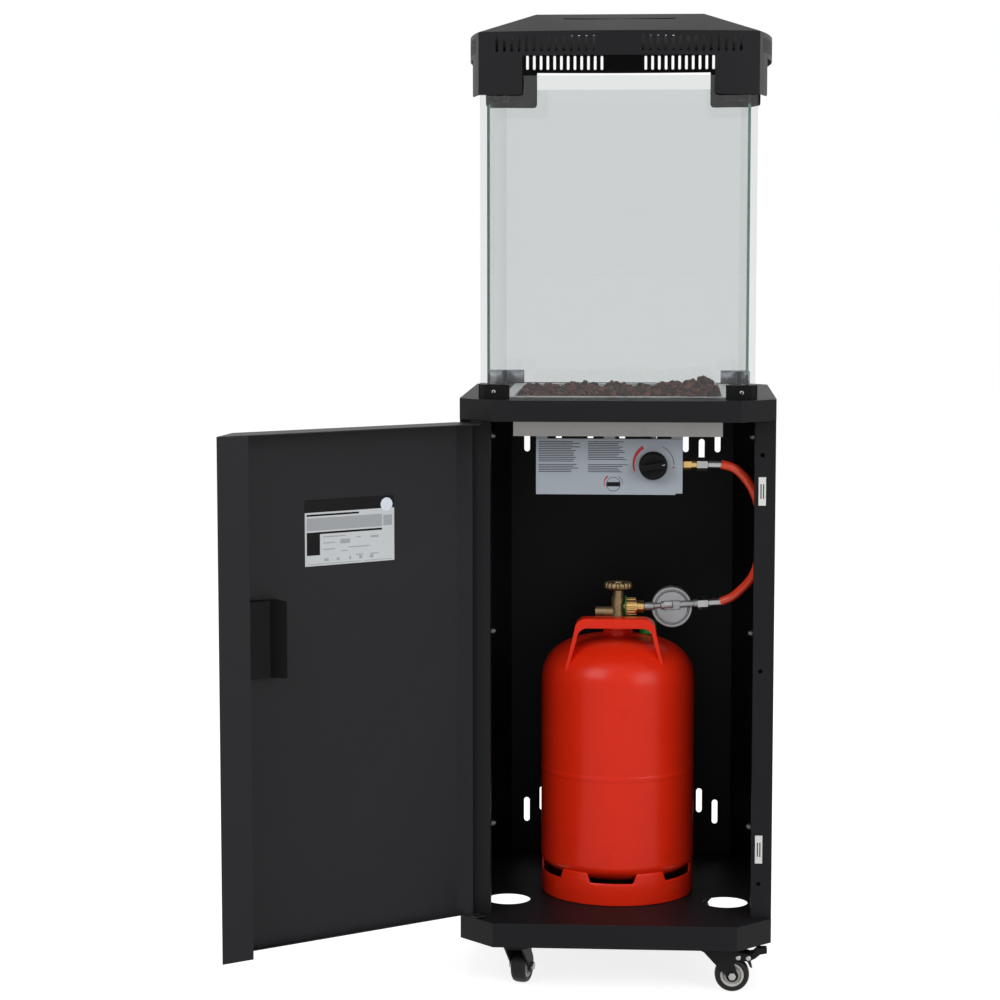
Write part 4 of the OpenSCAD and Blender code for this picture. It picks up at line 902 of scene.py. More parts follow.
def add_lathe(
    mesh: bmesh.types.BMesh,
    profile: Sequence[Pair],
    place: Matrix,
    steps: int,
    lobes: int = 0,
    dip: float = 0.0,
) -> None:
    """Adds a turned shape to a bmesh.

    Args:
        mesh: The bmesh that grows.
        profile: Radius and height of each ring, from one end to the other.
        place: Transform from the lathe's frame, axis +Z, to the object's.
        steps: Points round a ring.
        lobes: Number of lobes round the outside, or zero.
        dip: Depth between lobes as a share of the radius, scaled by how far out a ring is.
    """
    outer = max(radius for radius, _ in profile)
    rings: list[list[bmesh.types.BMVert]] = []
    for radius, height in profile:
        if radius < TINY:
            rings.append([mesh.verts.new(place @ Vector((0, 0, height)))])
            continue
        ring = []
        share = max(0.0, radius / outer - LOBE_START) / (1.0 - LOBE_START)
        for k in range(steps):
            angle = 2 * math.pi * k / steps
            wave = radius * (1.0 - dip * share * (0.5 - 0.5 * math.cos(lobes * angle)) ** 2)
            spot = Vector((wave * math.cos(angle), wave * math.sin(angle), height))
            ring.append(mesh.verts.new(place @ spot))
        rings.append(ring)
    for low, high in zip(rings, rings[1:]):
        for k in range(steps):
            n = (k + 1) % steps
            if len(low) == 1 and len(high) > 1:
                mesh.faces.new((low[0], high[n], high[k]))
            elif len(high) == 1 and len(low) > 1:
                mesh.faces.new((low[k], low[n], high[0]))
            elif len(low) > 1:
                mesh.faces.new((low[k], low[n], high[n], high[k]))


def add_block(mesh: bmesh.types.BMesh, low: Point, high: Point, round_to: float, place: Matrix) -> None:
    """Adds a block with rounded edges to a bmesh.

    Args:
        mesh: The bmesh that grows.
        low: Lowest corner.
        high: Highest corner.
        round_to: Radius of its edges.
        place: Transform to the object's frame.
    """
    part = bmesh.new()
    size = [top - bottom for bottom, top in zip(low, high)]
    middle = [(top + bottom) / 2 for bottom, top in zip(low, high)]
    box = Matrix.Translation(middle) @ Matrix.Diagonal((*size, 1.0))
    bmesh.ops.create_cube(part, size=1.0, matrix=box)
    bmesh.ops.bevel(
        part, geom=part.edges[:], offset=round_to, segments=BLOCK_SEGMENTS, affect="EDGES", profile=0.5
    )
    bmesh.ops.transform(part, matrix=place, verts=part.verts)
    data = bpy.data.meshes.new("block")
    part.to_mesh(data)
    part.free()
    mesh.from_mesh(data)
    bpy.data.meshes.remove(data)


def join_rows(mesh: bmesh.types.BMesh, rows: Sequence[Sequence[Any]], closed: bool) -> None:
    """Joins cross-sections into one shell.

    Args:
        mesh: The bmesh that grows.
        rows: Vertices of each section in order, as many in every section.
        closed: Whether the last section joins the first. Otherwise both ends get a face.
    """
    steps = list(zip(rows, rows[1:]))
    if closed:
        steps.append((rows[-1], rows[0]))
    else:
        mesh.faces.new(rows[0])
        mesh.faces.new(rows[-1][::-1])
    for near, far in steps:
        for j in range(len(near)):
            n = (j + 1) % len(near)
            mesh.faces.new((near[j], far[j], far[n], near[n]))


def add_slab(mesh: bmesh.types.BMesh, outline: Sequence[Pair], depth: Pair, place: Matrix) -> None:
    """Adds a flat slab to a bmesh.

    Args:
        mesh: The bmesh that grows.
        outline: Its X, Z points in order.
        depth: Y of its two faces.
        place: Transform to the object's frame.
    """
    join_rows(mesh, [[mesh.verts.new(place @ Vector((x, y, z))) for x, z in outline] for y in depth], False)


def add_strip(mesh: bmesh.types.BMesh, sides: Sequence[Edges], depth: Pair, closed: bool) -> None:
    """Adds a flat strip to a bmesh as one shell.

    Args:
        mesh: The bmesh that grows.
        sides: X, Z of its two edges at each step along it.
        depth: Y of its two faces.
        closed: Whether its last step joins its first.
    """
    rows = []
    for first, second in sides:
        corners = ((first, depth[0]), (second, depth[0]), (second, depth[1]), (first, depth[1]))
        rows.append([mesh.verts.new((x, y, z)) for (x, z), y in corners])
    join_rows(mesh, rows, closed)


def rounded(low: Pair, high: Pair, bottom: float, top: float) -> list[Pair]:
    """Returns a rectangle's outline with rounded corners.

    Args:
        low: Lowest X and Z.
        high: Highest X and Z.
        bottom: Radius of the two lower corners.
        top: Radius of the two upper corners.

    Returns:
        The outline's X, Z points.
    """
    outline: list[Pair] = []
    for turn, radius in enumerate((top, top, bottom, bottom)):
        x = high[0] - radius if turn in (0, 3) else low[0] + radius
        z = high[1] - radius if turn in (0, 1) else low[1] + radius
        for k in range(CORNER_STEPS + 1):
            a = math.pi / 2 * (turn + k / CORNER_STEPS)
            outline.append((x + radius * math.cos(a), z + radius * math.sin(a)))
    return outline


def along(axis: Point, origin: Point) -> Matrix:
    """Returns a transform that turns +Z to an axis and moves to an origin.

    Args:
        axis: Direction of the new Z axis.
        origin: Where the frame sits.

    Returns:
        The transform.
    """
    turn = Vector((0, 0, 1)).rotation_difference(Vector(axis))
    return Matrix.Translation(origin) @ turn.to_matrix().to_4x4()


@dataclass(frozen=True)
class Lamp:
    """A square soft lamp that the camera doesn't see."""

    name: str
    place: Point
    aim: Point
    size: float
    watts: float
    mirrored: bool = False

    def build(self) -> None:
        """Hangs the lamp and turns it to what it lights."""
        light = bpy.data.lights.new(self.name, "AREA")
        light.size = self.size
        light.energy = self.watts
        lamp = bpy.data.objects.new(self.name, light)
        turn = (Vector(self.aim) - Vector(self.place)).to_track_quat("-Z", "Y")
        lamp.matrix_world = Matrix.Translation(self.place) @ turn.to_matrix().to_4x4()
        lamp.visible_camera = False
        lamp.visible_transmission = False
        lamp.visible_glossy = self.mirrored
        bpy.context.scene.collection.objects.link(lamp)


LAMPS = (
    Lamp("key", (-2.6, -3.6, 3.4), (0.0, -0.1, 0.7), size=2.6, watts=95.0, mirrored=True),
    Lamp("fill", (3.0, -3.2, 2.0), (0.0, 0.0, 0.6), size=2.4, watts=60.0, mirrored=True),
    Lamp("top", (0.2, 0.6, 3.8), (0.0, 0.0, 1.0), size=2.2, watts=45.0),
    Lamp("rear", (1.2, 3.4, 2.2), (0.0, 0.0, 0.8), size=2.2, watts=30.0),
)


@dataclass
class Studio:
    """Camera at the photograph's angle, pale floor and soft lamps."""

    eye: Point = (0.07028, -3.8615, 1.0966)
    pan: float = 0.06437
    tilt: float = 0.10398
    roll: float = -0.00027
    lens: float = 93.49
    sensor: float = 36.0
    far_clip: float = 200.0
    floor_half: float = 60.0
    floor_tone: float = 0.42
    floor_glow: float = 0.83
    sky_light: float = 0.42
    sky_shown: float = 1.0

    def build(self) -> None:
        """Makes the camera, the floor, the world and the lamps."""
        self._camera()
        self._floor()
        self._world()
        for lamp in LAMPS:
            lamp.build()

    def _camera(self) -> None:
        """Sets the camera by its place, pan, tilt and roll."""
        level = math.cos(self.tilt)
        ahead = Vector((-math.sin(self.pan) * level, math.cos(self.pan) * level, -math.sin(self.tilt)))
        right = Vector((math.cos(self.pan), math.sin(self.pan), 0.0))
        up = right.cross(ahead)
        turned = right * math.cos(self.roll) + up * math.sin(self.roll)
        up = turned.cross(ahead)
        basis = Matrix((turned, up, -ahead)).transposed().to_4x4()
        data = bpy.data.cameras.new("camera")
        data.lens = self.lens
        data.sensor_width = self.sensor
        data.clip_end = self.far_clip
        camera = bpy.data.objects.new("camera", data)
        camera.matrix_world = Matrix.Translation(self.eye) @ basis
        bpy.context.scene.collection.objects.link(camera)
        bpy.context.scene.camera = camera

    @staticmethod
    def _seen(tree: Any) -> Any:
        """Picks the rays that look at the stage.

        Args:
            tree: Node tree of the floor or of the world.

        Returns:
            A socket that is one for camera, mirror and see-through rays.
        """
        rays = tree.nodes.new("ShaderNodeLightPath")
        seen = rays.outputs["Is Camera Ray"]
        for label in ("Is Glossy Ray", "Is Transmission Ray"):
            seen = add_math(tree, "MAXIMUM", seen, rays.outputs[label])
        return seen

    def _floor(self) -> None:
        """Makes a white floor that keeps a soft shadow."""
        h = self.floor_half
        data = bpy.data.meshes.new("floor")
        data.from_pydata([(-h, -h, 0), (h, -h, 0), (h, h, 0), (-h, h, 0)], [], [(0, 1, 2, 3)])
        material = bpy.data.materials.new("floor_white")
        material.use_nodes = True
        tree = material.node_tree
        tree.nodes.clear()
        matte = tree.nodes.new("ShaderNodeBsdfDiffuse")
        matte.inputs["Color"].default_value = (self.floor_tone, self.floor_tone, self.floor_tone, 1.0)
        glow = tree.nodes.new("ShaderNodeEmission")
        both = tree.nodes.new("ShaderNodeAddShader")
        result = tree.nodes.new("ShaderNodeOutputMaterial")
        level = add_math(tree, "MULTIPLY", self._seen(tree), self.floor_glow)
        tree.links.new(level, glow.inputs["Strength"])
        tree.links.new(matte.outputs[0], both.inputs[0])
        tree.links.new(glow.outputs[0], both.inputs[1])
        tree.links.new(both.outputs[0], result.inputs["Surface"])
        data.materials.append(material)
        floor = bpy.data.objects.new("floor", data)
        bpy.context.scene.collection.objects.link(floor)

    def _world(self) -> None:
        """Lights the scene softly and shows white behind the object."""
        scene = bpy.context.scene
        scene.view_settings.view_transform = "Standard"
        world = bpy.data.worlds.new("studio")
        world.use_nodes = True
        tree = world.node_tree
        shade = tree.nodes["Background"]
        shade.inputs["Color"].default_value = (1.0, 1.0, 1.0, 1.0)
        level = tree.nodes.new("ShaderNodeMapRange")
        level.inputs["To Min"].default_value = self.sky_light
        level.inputs["To Max"].default_value = self.sky_shown
        tree.links.new(self._seen(tree), level.inputs["Value"])
        tree.links.new(level.outputs["Result"], shade.inputs["Strength"])
        scene.world = world


@dataclass
class GasLine:
    """Hose and regulator between the bottle and the burner valve."""

    hose_radius: float = 0.0065
    hose_steps: int = 8
    hose_sides: int = 6
    route: tuple[Point, ...] = (
        (0.1485, -0.128, 0.760), (0.1655, -0.1275, 0.755), (0.178, -0.1255, 0.7455), (0.188, -0.1215, 0.733),
        (0.1955, -0.116, 0.720), (0.2015, -0.108, 0.7035), (0.2055, -0.097, 0.683), (0.2074, -0.084, 0.659),
        (0.2074, -0.069, 0.635), (0.2055, -0.055, 0.612), (0.201, -0.042, 0.593), (0.1935, -0.031, 0.578),
        (0.183, -0.0215, 0.565), (0.169, -0.0125, 0.5515), (0.1525, -0.008, 0.543),
    )
    line_start: Point = (0.0375, -0.008, 0.535)
    line_end: float = 0.035
    body: Profile = (
        (0, 0.0005), (0.0062, 0.0005), (0.0065, 0.0012), (0.0065, 0.013), (0.0060, 0.0145), (0.0042, 0.0150),
        (0.0042, 0.0245), (0.0064, 0.0262), (0.0064, 0.0405), (0.0068, 0.0415), (0.0068, 0.0425),
        (0.0052, 0.0440),
    )
    body_steps: int = 40
    collar_radius: float = 0.0060
    collar_length: float = 0.005
    collar_ease: float = 0.001
    disc_radius: float = 0.0310
    disc_along: float = 0.042
    disc_drop: float = 0.004
    # Share of the disc's radius, and height
    disc: Profile = (
        (0, -0.027), (0.40, -0.0268), (0.46, -0.0255), (0.60, -0.0220), (0.94, -0.0160), (1.0, -0.0145),
        (1.0, -0.0035), (0.985, -0.0018), (0.95, -0.0010), (0.86, -0.0010), (0.835, -0.0020), (0.82, -0.0030),
        (0.79, -0.0030), (0.775, -0.0016), (0.75, -0.0004), (0.40, 0.0004), (0, 0.0006),
    )
    disc_steps: int = 96
    lug_turn: float = -4.0
    lugs: tuple[Block, ...] = (
        ((-0.0120, -0.0048, -0.0030), (0.0125, 0.0, 0.0100), 0.0012),
        ((0.0125, -0.0036, 0.0), (0.0260, 0.0, 0.0085), 0.0010),
    )
    sharp: float = 30.0

    def build(self) -> None:
        """Makes the hose as a cord, then the regulator."""
        self.build_hose()
        self.build_regulator()

    def build_hose(self) -> None:
        curve = bpy.data.curves.new("gas_hose_line", "CURVE")
        curve.dimensions = "3D"
        curve.resolution_u = self.hose_steps
        curve.bevel_depth = self.hose_radius
        curve.bevel_resolution = self.hose_sides
        curve.use_fill_caps = True
        spline = curve.splines.new("BEZIER")
        spline.bezier_points.add(len(self.route) - 1)
        for knot, point in zip(spline.bezier_points, self.route):
            knot.co = point
            knot.handle_left_type = "AUTO"
            knot.handle_right_type = "AUTO"
        curve.materials.append(SHELF.material(HOSE_RUBBER))
        hose = bpy.data.objects.new("hose", curve)
        bpy.context.scene.collection.objects.link(hose)
        settle(hose, Body.CABINET.value, HOSE_RUBBER, "gas_hose")

    def line_frame(self) -> Matrix:
        """Finds the frame of the lower gas line.

        Returns:
            The transform: +Z runs along the line to the hose, -Y stays in front.
        """
        run = (Vector(self.route[-1]) - Vector(self.line_start)).normalized()
        front = Vector((0, -1, 0))
        side = front.cross(run)
        return Matrix.Translation(self.line_start) @ Matrix((front, side, run)).transposed().to_4x4()

    def build_regulator(self) -> None:
        """Makes the regulator: stepped body along the line and a ribbed round housing behind it."""
        shape = bmesh.new()
        frame = self.line_frame()
        end = (Vector(self.route[-1]) - Vector(self.line_start)).length - self.line_end
        collar = end - self.collar_length
        tail = [
            (self.body[-1][0], collar - self.collar_ease), (self.collar_radius, collar),
            (self.collar_radius, end), (0, end),
        ]
        add_lathe(shape, [*self.body, *tail], frame, self.body_steps)
        middle = frame @ Vector((0, 0, self.disc_along)) - Vector((0, 0, self.disc_drop))
        disc = [(self.disc_radius * share, height) for share, height in self.disc]
        add_lathe(shape, disc, along((0, -1, 0), tuple(middle)), self.disc_steps)
        turned = Matrix.Translation(middle) @ Matrix.Rotation(math.radians(self.lug_turn), 4, "Y")
        for low, high, round_to in self.lugs:
            add_block(shape, low, high, round_to, turned)
        regulator = from_bmesh("gas_regulator", shape, CAST_ALLOY, self.sharp)
        settle(regulator, Body.CABINET.value, CAST_ALLOY, "regulator")


@dataclass
class FireBed:
    """Skin of painted light over the burner pan's rim, its two probes and the lava stones in it."""

    half: float = 0.130
    rows: int = 12
    base: float = 0.8475
    stone: float = 0.0126
    stone_detail: int = 3
    stone_sizes: tuple[Point, Point] = ((0.85, 0.80, 0.72), (1.12, 1.08, 1.0))
    stone_turn: float = 6.2
    shift: tuple[Point, Point] = ((-0.0060, -0.0060, -0.004), (0.0060, 0.0060, 0.0050))
    bumps: tuple[Pair, ...] = ((62.0, 0.026), (190.0, 0.013))
    bump_detail: float = 2.0
    bump_middle: float = 0.52
    bump_spread: float = 9.0
    seed_shift: int = 3
    seed_turn: int = 5
    seed_bump: int = 11
    seed_size: int = 17
    # Where the heap starts and ends across, and its rise
    heap: Point = (0.060, 0.112, 0.0085)
    clear: Point = (0.0175, -0.1225, 0.8475)
    clear_radius: float = 0.022
    probe_gap: float = 0.008
    probe_steps: int = 24
    rib: Profile = ((0.0040, 0.0), (0.0040, 0.0026), (0.0032, 0.0032), (0.0032, 0.0041))
    rib_count: int = 4
    rib_pitch: float = 0.0045
    probe_end: Profile = ((0.0024, 0.0180), (0.0, 0.0180))
    wire_radius: float = 0.0009
    wire_start: float = 0.0170
    wire_bend: float = 0.0012
    wire_tip: Pair = (0.0046, 0.0052)
    wire_steps: int = 12
    # Half width and height of the edges of the painted-light skin
    painted_light_skin: Profile = (
        (0.16480, 0.85850), (0.16480, 0.85862), (0.14838, 0.85862), (0.14838, 0.83765), (0.14848, 0.83765),
        (0.14848, 0.85850),
    )

    def build(self) -> None:
        """Makes the painted-light skin over the rim, the two probes and the stones."""
        self.build_painted_light_skin()
        self.build_probes()
        self.build_stones()

    def build_painted_light_skin(self) -> None:
        """Lays a thin skin over the pan's rim and its inner walls: the pan's steel painted paler, as painted
        light.
        """
        shape = bmesh.new()
        turns = ((-1, -1), (1, -1), (1, 1), (-1, 1))
        rings = [[shape.verts.new((x * half, y * half, z)) for x, y in turns] for half, z in self.painted_light_skin]
        join_rows(shape, rings, True)
        settle(from_bmesh("pan_lining", shape, PAINTED_LIT_STEEL), Body.CABINET.value, PAINTED_LIT_STEEL)

    def build_probes(self) -> None:
        """Makes the ribbed insulators of the igniter and the flame probe, and their wires with bent tips."""
        low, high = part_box("burner_probes")
        reach = high[2] - low[2]
        ribs: list[Pair] = [(0.0, 0.0), (self.rib[0][0], 0.0)]
        for k in range(self.rib_count):
            ribs += [(radius, self.rib_pitch * k + rise) for radius, rise in self.rib]
        r = self.wire_radius
        wire = [(0.0, self.wire_start), (r, self.wire_start), (r, reach - r), (0.0, reach)]
        bent = [(0.0, 0.0), (r, 0.0), (r, self.wire_tip[0]), (0.0, self.wire_tip[1])]
        bodies, wires = bmesh.new(), bmesh.new()
        for side in (-1, 1):
            foot = Matrix.Translation((self.clear[0] + side * self.probe_gap, self.clear[1], low[2]))
            add_lathe(bodies, [*ribs, *self.probe_end], foot, self.probe_steps)
            add_lathe(wires, wire, foot, self.wire_steps)
            tip = foot @ along((-side, 0, 0), (0.0, 0.0, reach - self.wire_bend))
            add_lathe(wires, bent, tip, self.wire_steps)
        insulators = from_bmesh("probe_insulators", bodies, CERAMIC)
        settle(insulators, Body.CABINET.value, CERAMIC, "burner_probes")
        settle(from_bmesh("probe_wires", wires, POLE_STEEL), Body.CABINET.value, POLE_STEEL)

    def build_stones(self) -> None:
        """Scatters the stones on a loose grid, heaped at the right, and breaks up their faces."""
        recipe = GeometryRecipe("lava_bed")
        width = recipe.size("Width", 2 * self.half)
        radius = recipe.size("Stone Radius", self.stone)
        count = recipe.size("Rows", self.rows, "NodeSocketInt")
        lift = recipe.size("Base Height", self.base)
        grid = recipe.node(
            "GeometryNodeMeshGrid",
            {"Size X": width, "Size Y": width, "Vertices X": count, "Vertices Y": count},
        )
        place = recipe.node("GeometryNodeInputPosition")
        side = recipe.node("ShaderNodeSeparateXYZ", {0: place.outputs[0]})
        start, end, rise = self.heap
        heap = recipe.node("ShaderNodeMapRange", {0: side.outputs[0], 1: start, 2: end, 3: 0.0, 4: rise})
        level = recipe.node("ShaderNodeMath", {0: lift, 1: heap.outputs[0]}, operation="ADD")
        up = recipe.node("ShaderNodeCombineXYZ", {"Z": level.outputs[0]})
        loose = recipe.node(
            "ShaderNodeVectorMath",
            {0: up.outputs[0], 1: recipe.random(*self.shift, self.seed_shift)},
            operation="ADD",
        )
        moved = recipe.node(
            "GeometryNodeSetPosition", {"Geometry": grid.outputs[0], "Offset": loose.outputs[0]}
        )
        apart = recipe.node(
            "ShaderNodeVectorMath", {0: place.outputs[0], 1: self.clear}, operation="DISTANCE"
        )
        near = recipe.node(
            "FunctionNodeCompare", {0: apart.outputs["Value"], 1: self.clear_radius}, operation="LESS_THAN"
        )
        kept = recipe.node(
            "GeometryNodeDeleteGeometry", {"Geometry": moved.outputs[0], "Selection": near.outputs[0]}
        )
        spread = self.bump_spread
        mark = recipe.random((-spread, -spread, -spread), (spread, spread, spread), self.seed_bump)
        marked = recipe.node(
            "GeometryNodeStoreNamedAttribute",
            {"Geometry": kept.outputs[0], "Name": "lump", "Value": mark},
            data_type="FLOAT_VECTOR", domain="POINT",
        )
        ball = recipe.node("GeometryNodeMeshIcoSphere", {"Radius": radius, "Subdivisions": self.stone_detail})
        most = self.stone_turn
        turn = recipe.node(
            "FunctionNodeEulerToRotation", {0: recipe.random((0, 0, 0), (most, most, most), self.seed_turn)}
        )
        stones = recipe.node(
            "GeometryNodeInstanceOnPoints",
            {"Points": marked.outputs[0], "Instance": ball.outputs[0], "Rotation": turn.outputs[0],
             "Scale": recipe.random(*self.stone_sizes, self.seed_size)},
        )
        real = recipe.node("GeometryNodeRealizeInstances", {"Geometry": stones.outputs[0]})
        lump = recipe.node("GeometryNodeInputNamedAttribute", {"Name": "lump"}, data_type="FLOAT_VECTOR")
        spot = recipe.node(
            "ShaderNodeVectorMath", {0: place.outputs[0], 1: lump.outputs[0]}, operation="ADD"
        )
        rough: Any = real.outputs[0]
        for scale, depth in self.bumps:
            noise = recipe.node(
                "ShaderNodeTexNoise", {"Vector": spot.outputs[0], "Scale": scale, "Detail": self.bump_detail}
            )
            size = recipe.node(
                "ShaderNodeMath", {0: noise.outputs[0], 1: depth, 2: -depth * self.bump_middle},
                operation="MULTIPLY_ADD",
            )
            normal = recipe.node("GeometryNodeInputNormal")
            push = recipe.node(
                "ShaderNodeVectorMath", {0: normal.outputs[0], "Scale": size.outputs[0]}, operation="SCALE"
            )
            pushed = recipe.node("GeometryNodeSetPosition", {"Geometry": rough, "Offset": push.outputs[0]})
            rough = pushed.outputs[0]
        recipe.finish(rough, LAVA)
        settle(recipe.make("lava_bed"), Body.CABINET.value, LAVA, "lava_rocks")


@dataclass
class Fixings:
    """Dome nuts of the posts and socket screws of the glass brackets.

    The models are one metre wide and are scaled to each fixing.
    """

    # Face of the post, and which way the nut points
    nut_sides: tuple[Pair, ...] = ((-0.182, 1), (0.1955, -1))
    nut_depth: float = -0.1585
    nut_heights: Point = (0.237, 0.5195, 0.802)
    nut_width: float = 0.009
    nut_base: Profile = (
        (0.40, 0.0), (0.47, 0.04), (0.50, 0.10), (0.50, 0.38), (0.46, 0.46), (0.40, 0.48),
    )
    dome_radius: float = 0.40
    dome_foot: float = 0.46
    dome_rise: float = 0.42
    dome_steps: int = 6
    screw_place: Point = (0.175, 0.197, 0.86725)
    screw_width: float = 0.0063
    head: Profile = (
        (0.5, 0.0), (0.5, 0.06), (0.46, 0.16), (0.36, 0.25), (0.27, 0.295), (0.25, 0.285), (0.23, 0.10),
        (0, 0.09),
    )
    # Dark disc that fills the head's socket: painted shade of the recess
    socket: Profile = ((0, 0.10), (0.24, 0.10), (0.24, 0.24), (0, 0.24))
    round_steps: int = 18
    six_sides: int = 6

    def build(self) -> None:
        """Copies the nuts, the screw heads and the dark discs of painted shade in their sockets to their
        places.
        """
        x, y, z = self.screw_place
        nuts = [
            ((side, self.nut_depth, height), (way, 0, 0), self.nut_width)
            for height in self.nut_heights
            for side, way in self.nut_sides
        ]
        screws = [
            ((side * x, way * y, z), (0, way, 0), self.screw_width)
            for side in (-1, 1)
            for way in (-1, 1)
        ]
        dome = [
            (self.dome_radius * math.cos(a), self.dome_foot + self.dome_rise * math.sin(a))
            for a in (math.pi / 2 * k / self.dome_steps for k in range(self.dome_steps))
        ]
        dome.append((0.0, self.dome_foot + self.dome_rise))
        nut = self._model("dome_nut", DULL_ZINC, (self.nut_base, self.six_sides), (dome, self.round_steps))
        settle(self._copy("dome_nuts", nuts, nut, DULL_ZINC), Body.CABINET.value, DULL_ZINC, "dome_screws")
        head = self._model("screw_head", ZINC, (self.head, self.round_steps))
        settle(self._copy("screw_heads", screws, head, ZINC), Body.CABINET.value, ZINC, "dome_screws")
        # The dark print colour in each socket is painted shade
        socket = self._model("screw_socket", DARK_PRINT_AND_SHADE, (self.socket, self.six_sides))
        settle(self._copy("screw_sockets", screws, socket, DARK_PRINT_AND_SHADE), Body.CABINET.value, DARK_PRINT_AND_SHADE)

    @staticmethod
    def _model(name: str, finish: Any, *parts: tuple[Sequence[Pair], int]) -> bpy.types.Object:
        """Turns a model of one metre width.

        Args:
            name: Name of the model.
            finish: Its finish.
            *parts: Profile and number of sides of each turned part.

        Returns:
            The model at the origin, axis +Z.
        """
        shape = bmesh.new()
        for profile, sides in parts:
            add_lathe(shape, profile, Matrix.Identity(4), sides)
        return from_bmesh(name, shape, finish)

    @staticmethod
    def _copy(
        name: str, fixings: Sequence[Fixing], model_piece: bpy.types.Object, finish: Any
    ) -> bpy.types.Object:
        """Copies a model to every fixing point.

        Args:
            name: Name of the new piece.
            fixings: Place, direction and diameter of each copy.
            model_piece: The model, of one metre diameter, which is removed.
            finish: Finish of the copies.

        Returns:
            The copies as one piece.
        """
        points = bpy.data.meshes.new("fixing_points")
        points.from_pydata([place for place, _, _ in fixings], [], [])
        points.attributes.new("facing", "FLOAT_VECTOR", "POINT")
        points.attributes.new("across", "FLOAT", "POINT")
        for k, (_, axis, size) in enumerate(fixings):
            points.attributes["facing"].data[k].vector = axis
            points.attributes["across"].data[k].value = size
        recipe = GeometryRecipe(name)
        model = recipe.node("GeometryNodeObjectInfo", {"Object": model_piece})
        axis = recipe.node("GeometryNodeInputNamedAttribute", {"Name": "facing"}, data_type="FLOAT_VECTOR")
        size = recipe.node("GeometryNodeInputNamedAttribute", {"Name": "across"}, data_type="FLOAT")
        turn = recipe.node("FunctionNodeAlignRotationToVector", {"Vector": axis.outputs[0]}, axis="Z")
        copies = recipe.node(
            "GeometryNodeInstanceOnPoints",
            {"Points": recipe.source.outputs[0], "Instance": model.outputs["Geometry"],
             "Rotation": turn.outputs[0], "Scale": size.outputs[0]},
        )
        recipe.finish(copies.outputs[0], finish)
        piece = recipe.make(name, points)
        bpy.data.objects.remove(model_piece)
        return piece


@dataclass
class BracketLiners:
    """Pale steel liners on the inner faces of the four glass brackets."""

    inner: Pair = (0.1765, 0.183)
    leg: float = 0.153
    outer: Pair = (0.1852, 0.1965)
    heights: Pair = (0.8590, 0.8774)
    thick: float = 0.00015
    ease: float = 0.00002

    def build(self) -> None:
        """Makes the liners of each corner as thin plates."""
        shape = bmesh.new()
        x, y = self.inner
        t = self.thick
        low, high = self.heights
        plates = (
            ((self.leg, y - t), (x - t, y)),
            ((x - t, self.leg), (x, y)),
            ((self.outer[0], self.leg - t), (self.outer[1], self.leg)),
        )
        for sx in (-1, 1):
            for sy in (-1, 1):
                for (x0, y0), (x1, y1) in plates:
                    xs = sorted((sx * x0, sx * x1))
                    ys = sorted((sy * y0, sy * y1))
                    add_block(shape, (xs[0], ys[0], low), (xs[1], ys[1], high), self.ease, Matrix.Identity(4))
        settle(from_bmesh("bracket_liners", shape, SATIN_STEEL), Body.CABINET.value, SATIN_STEEL)


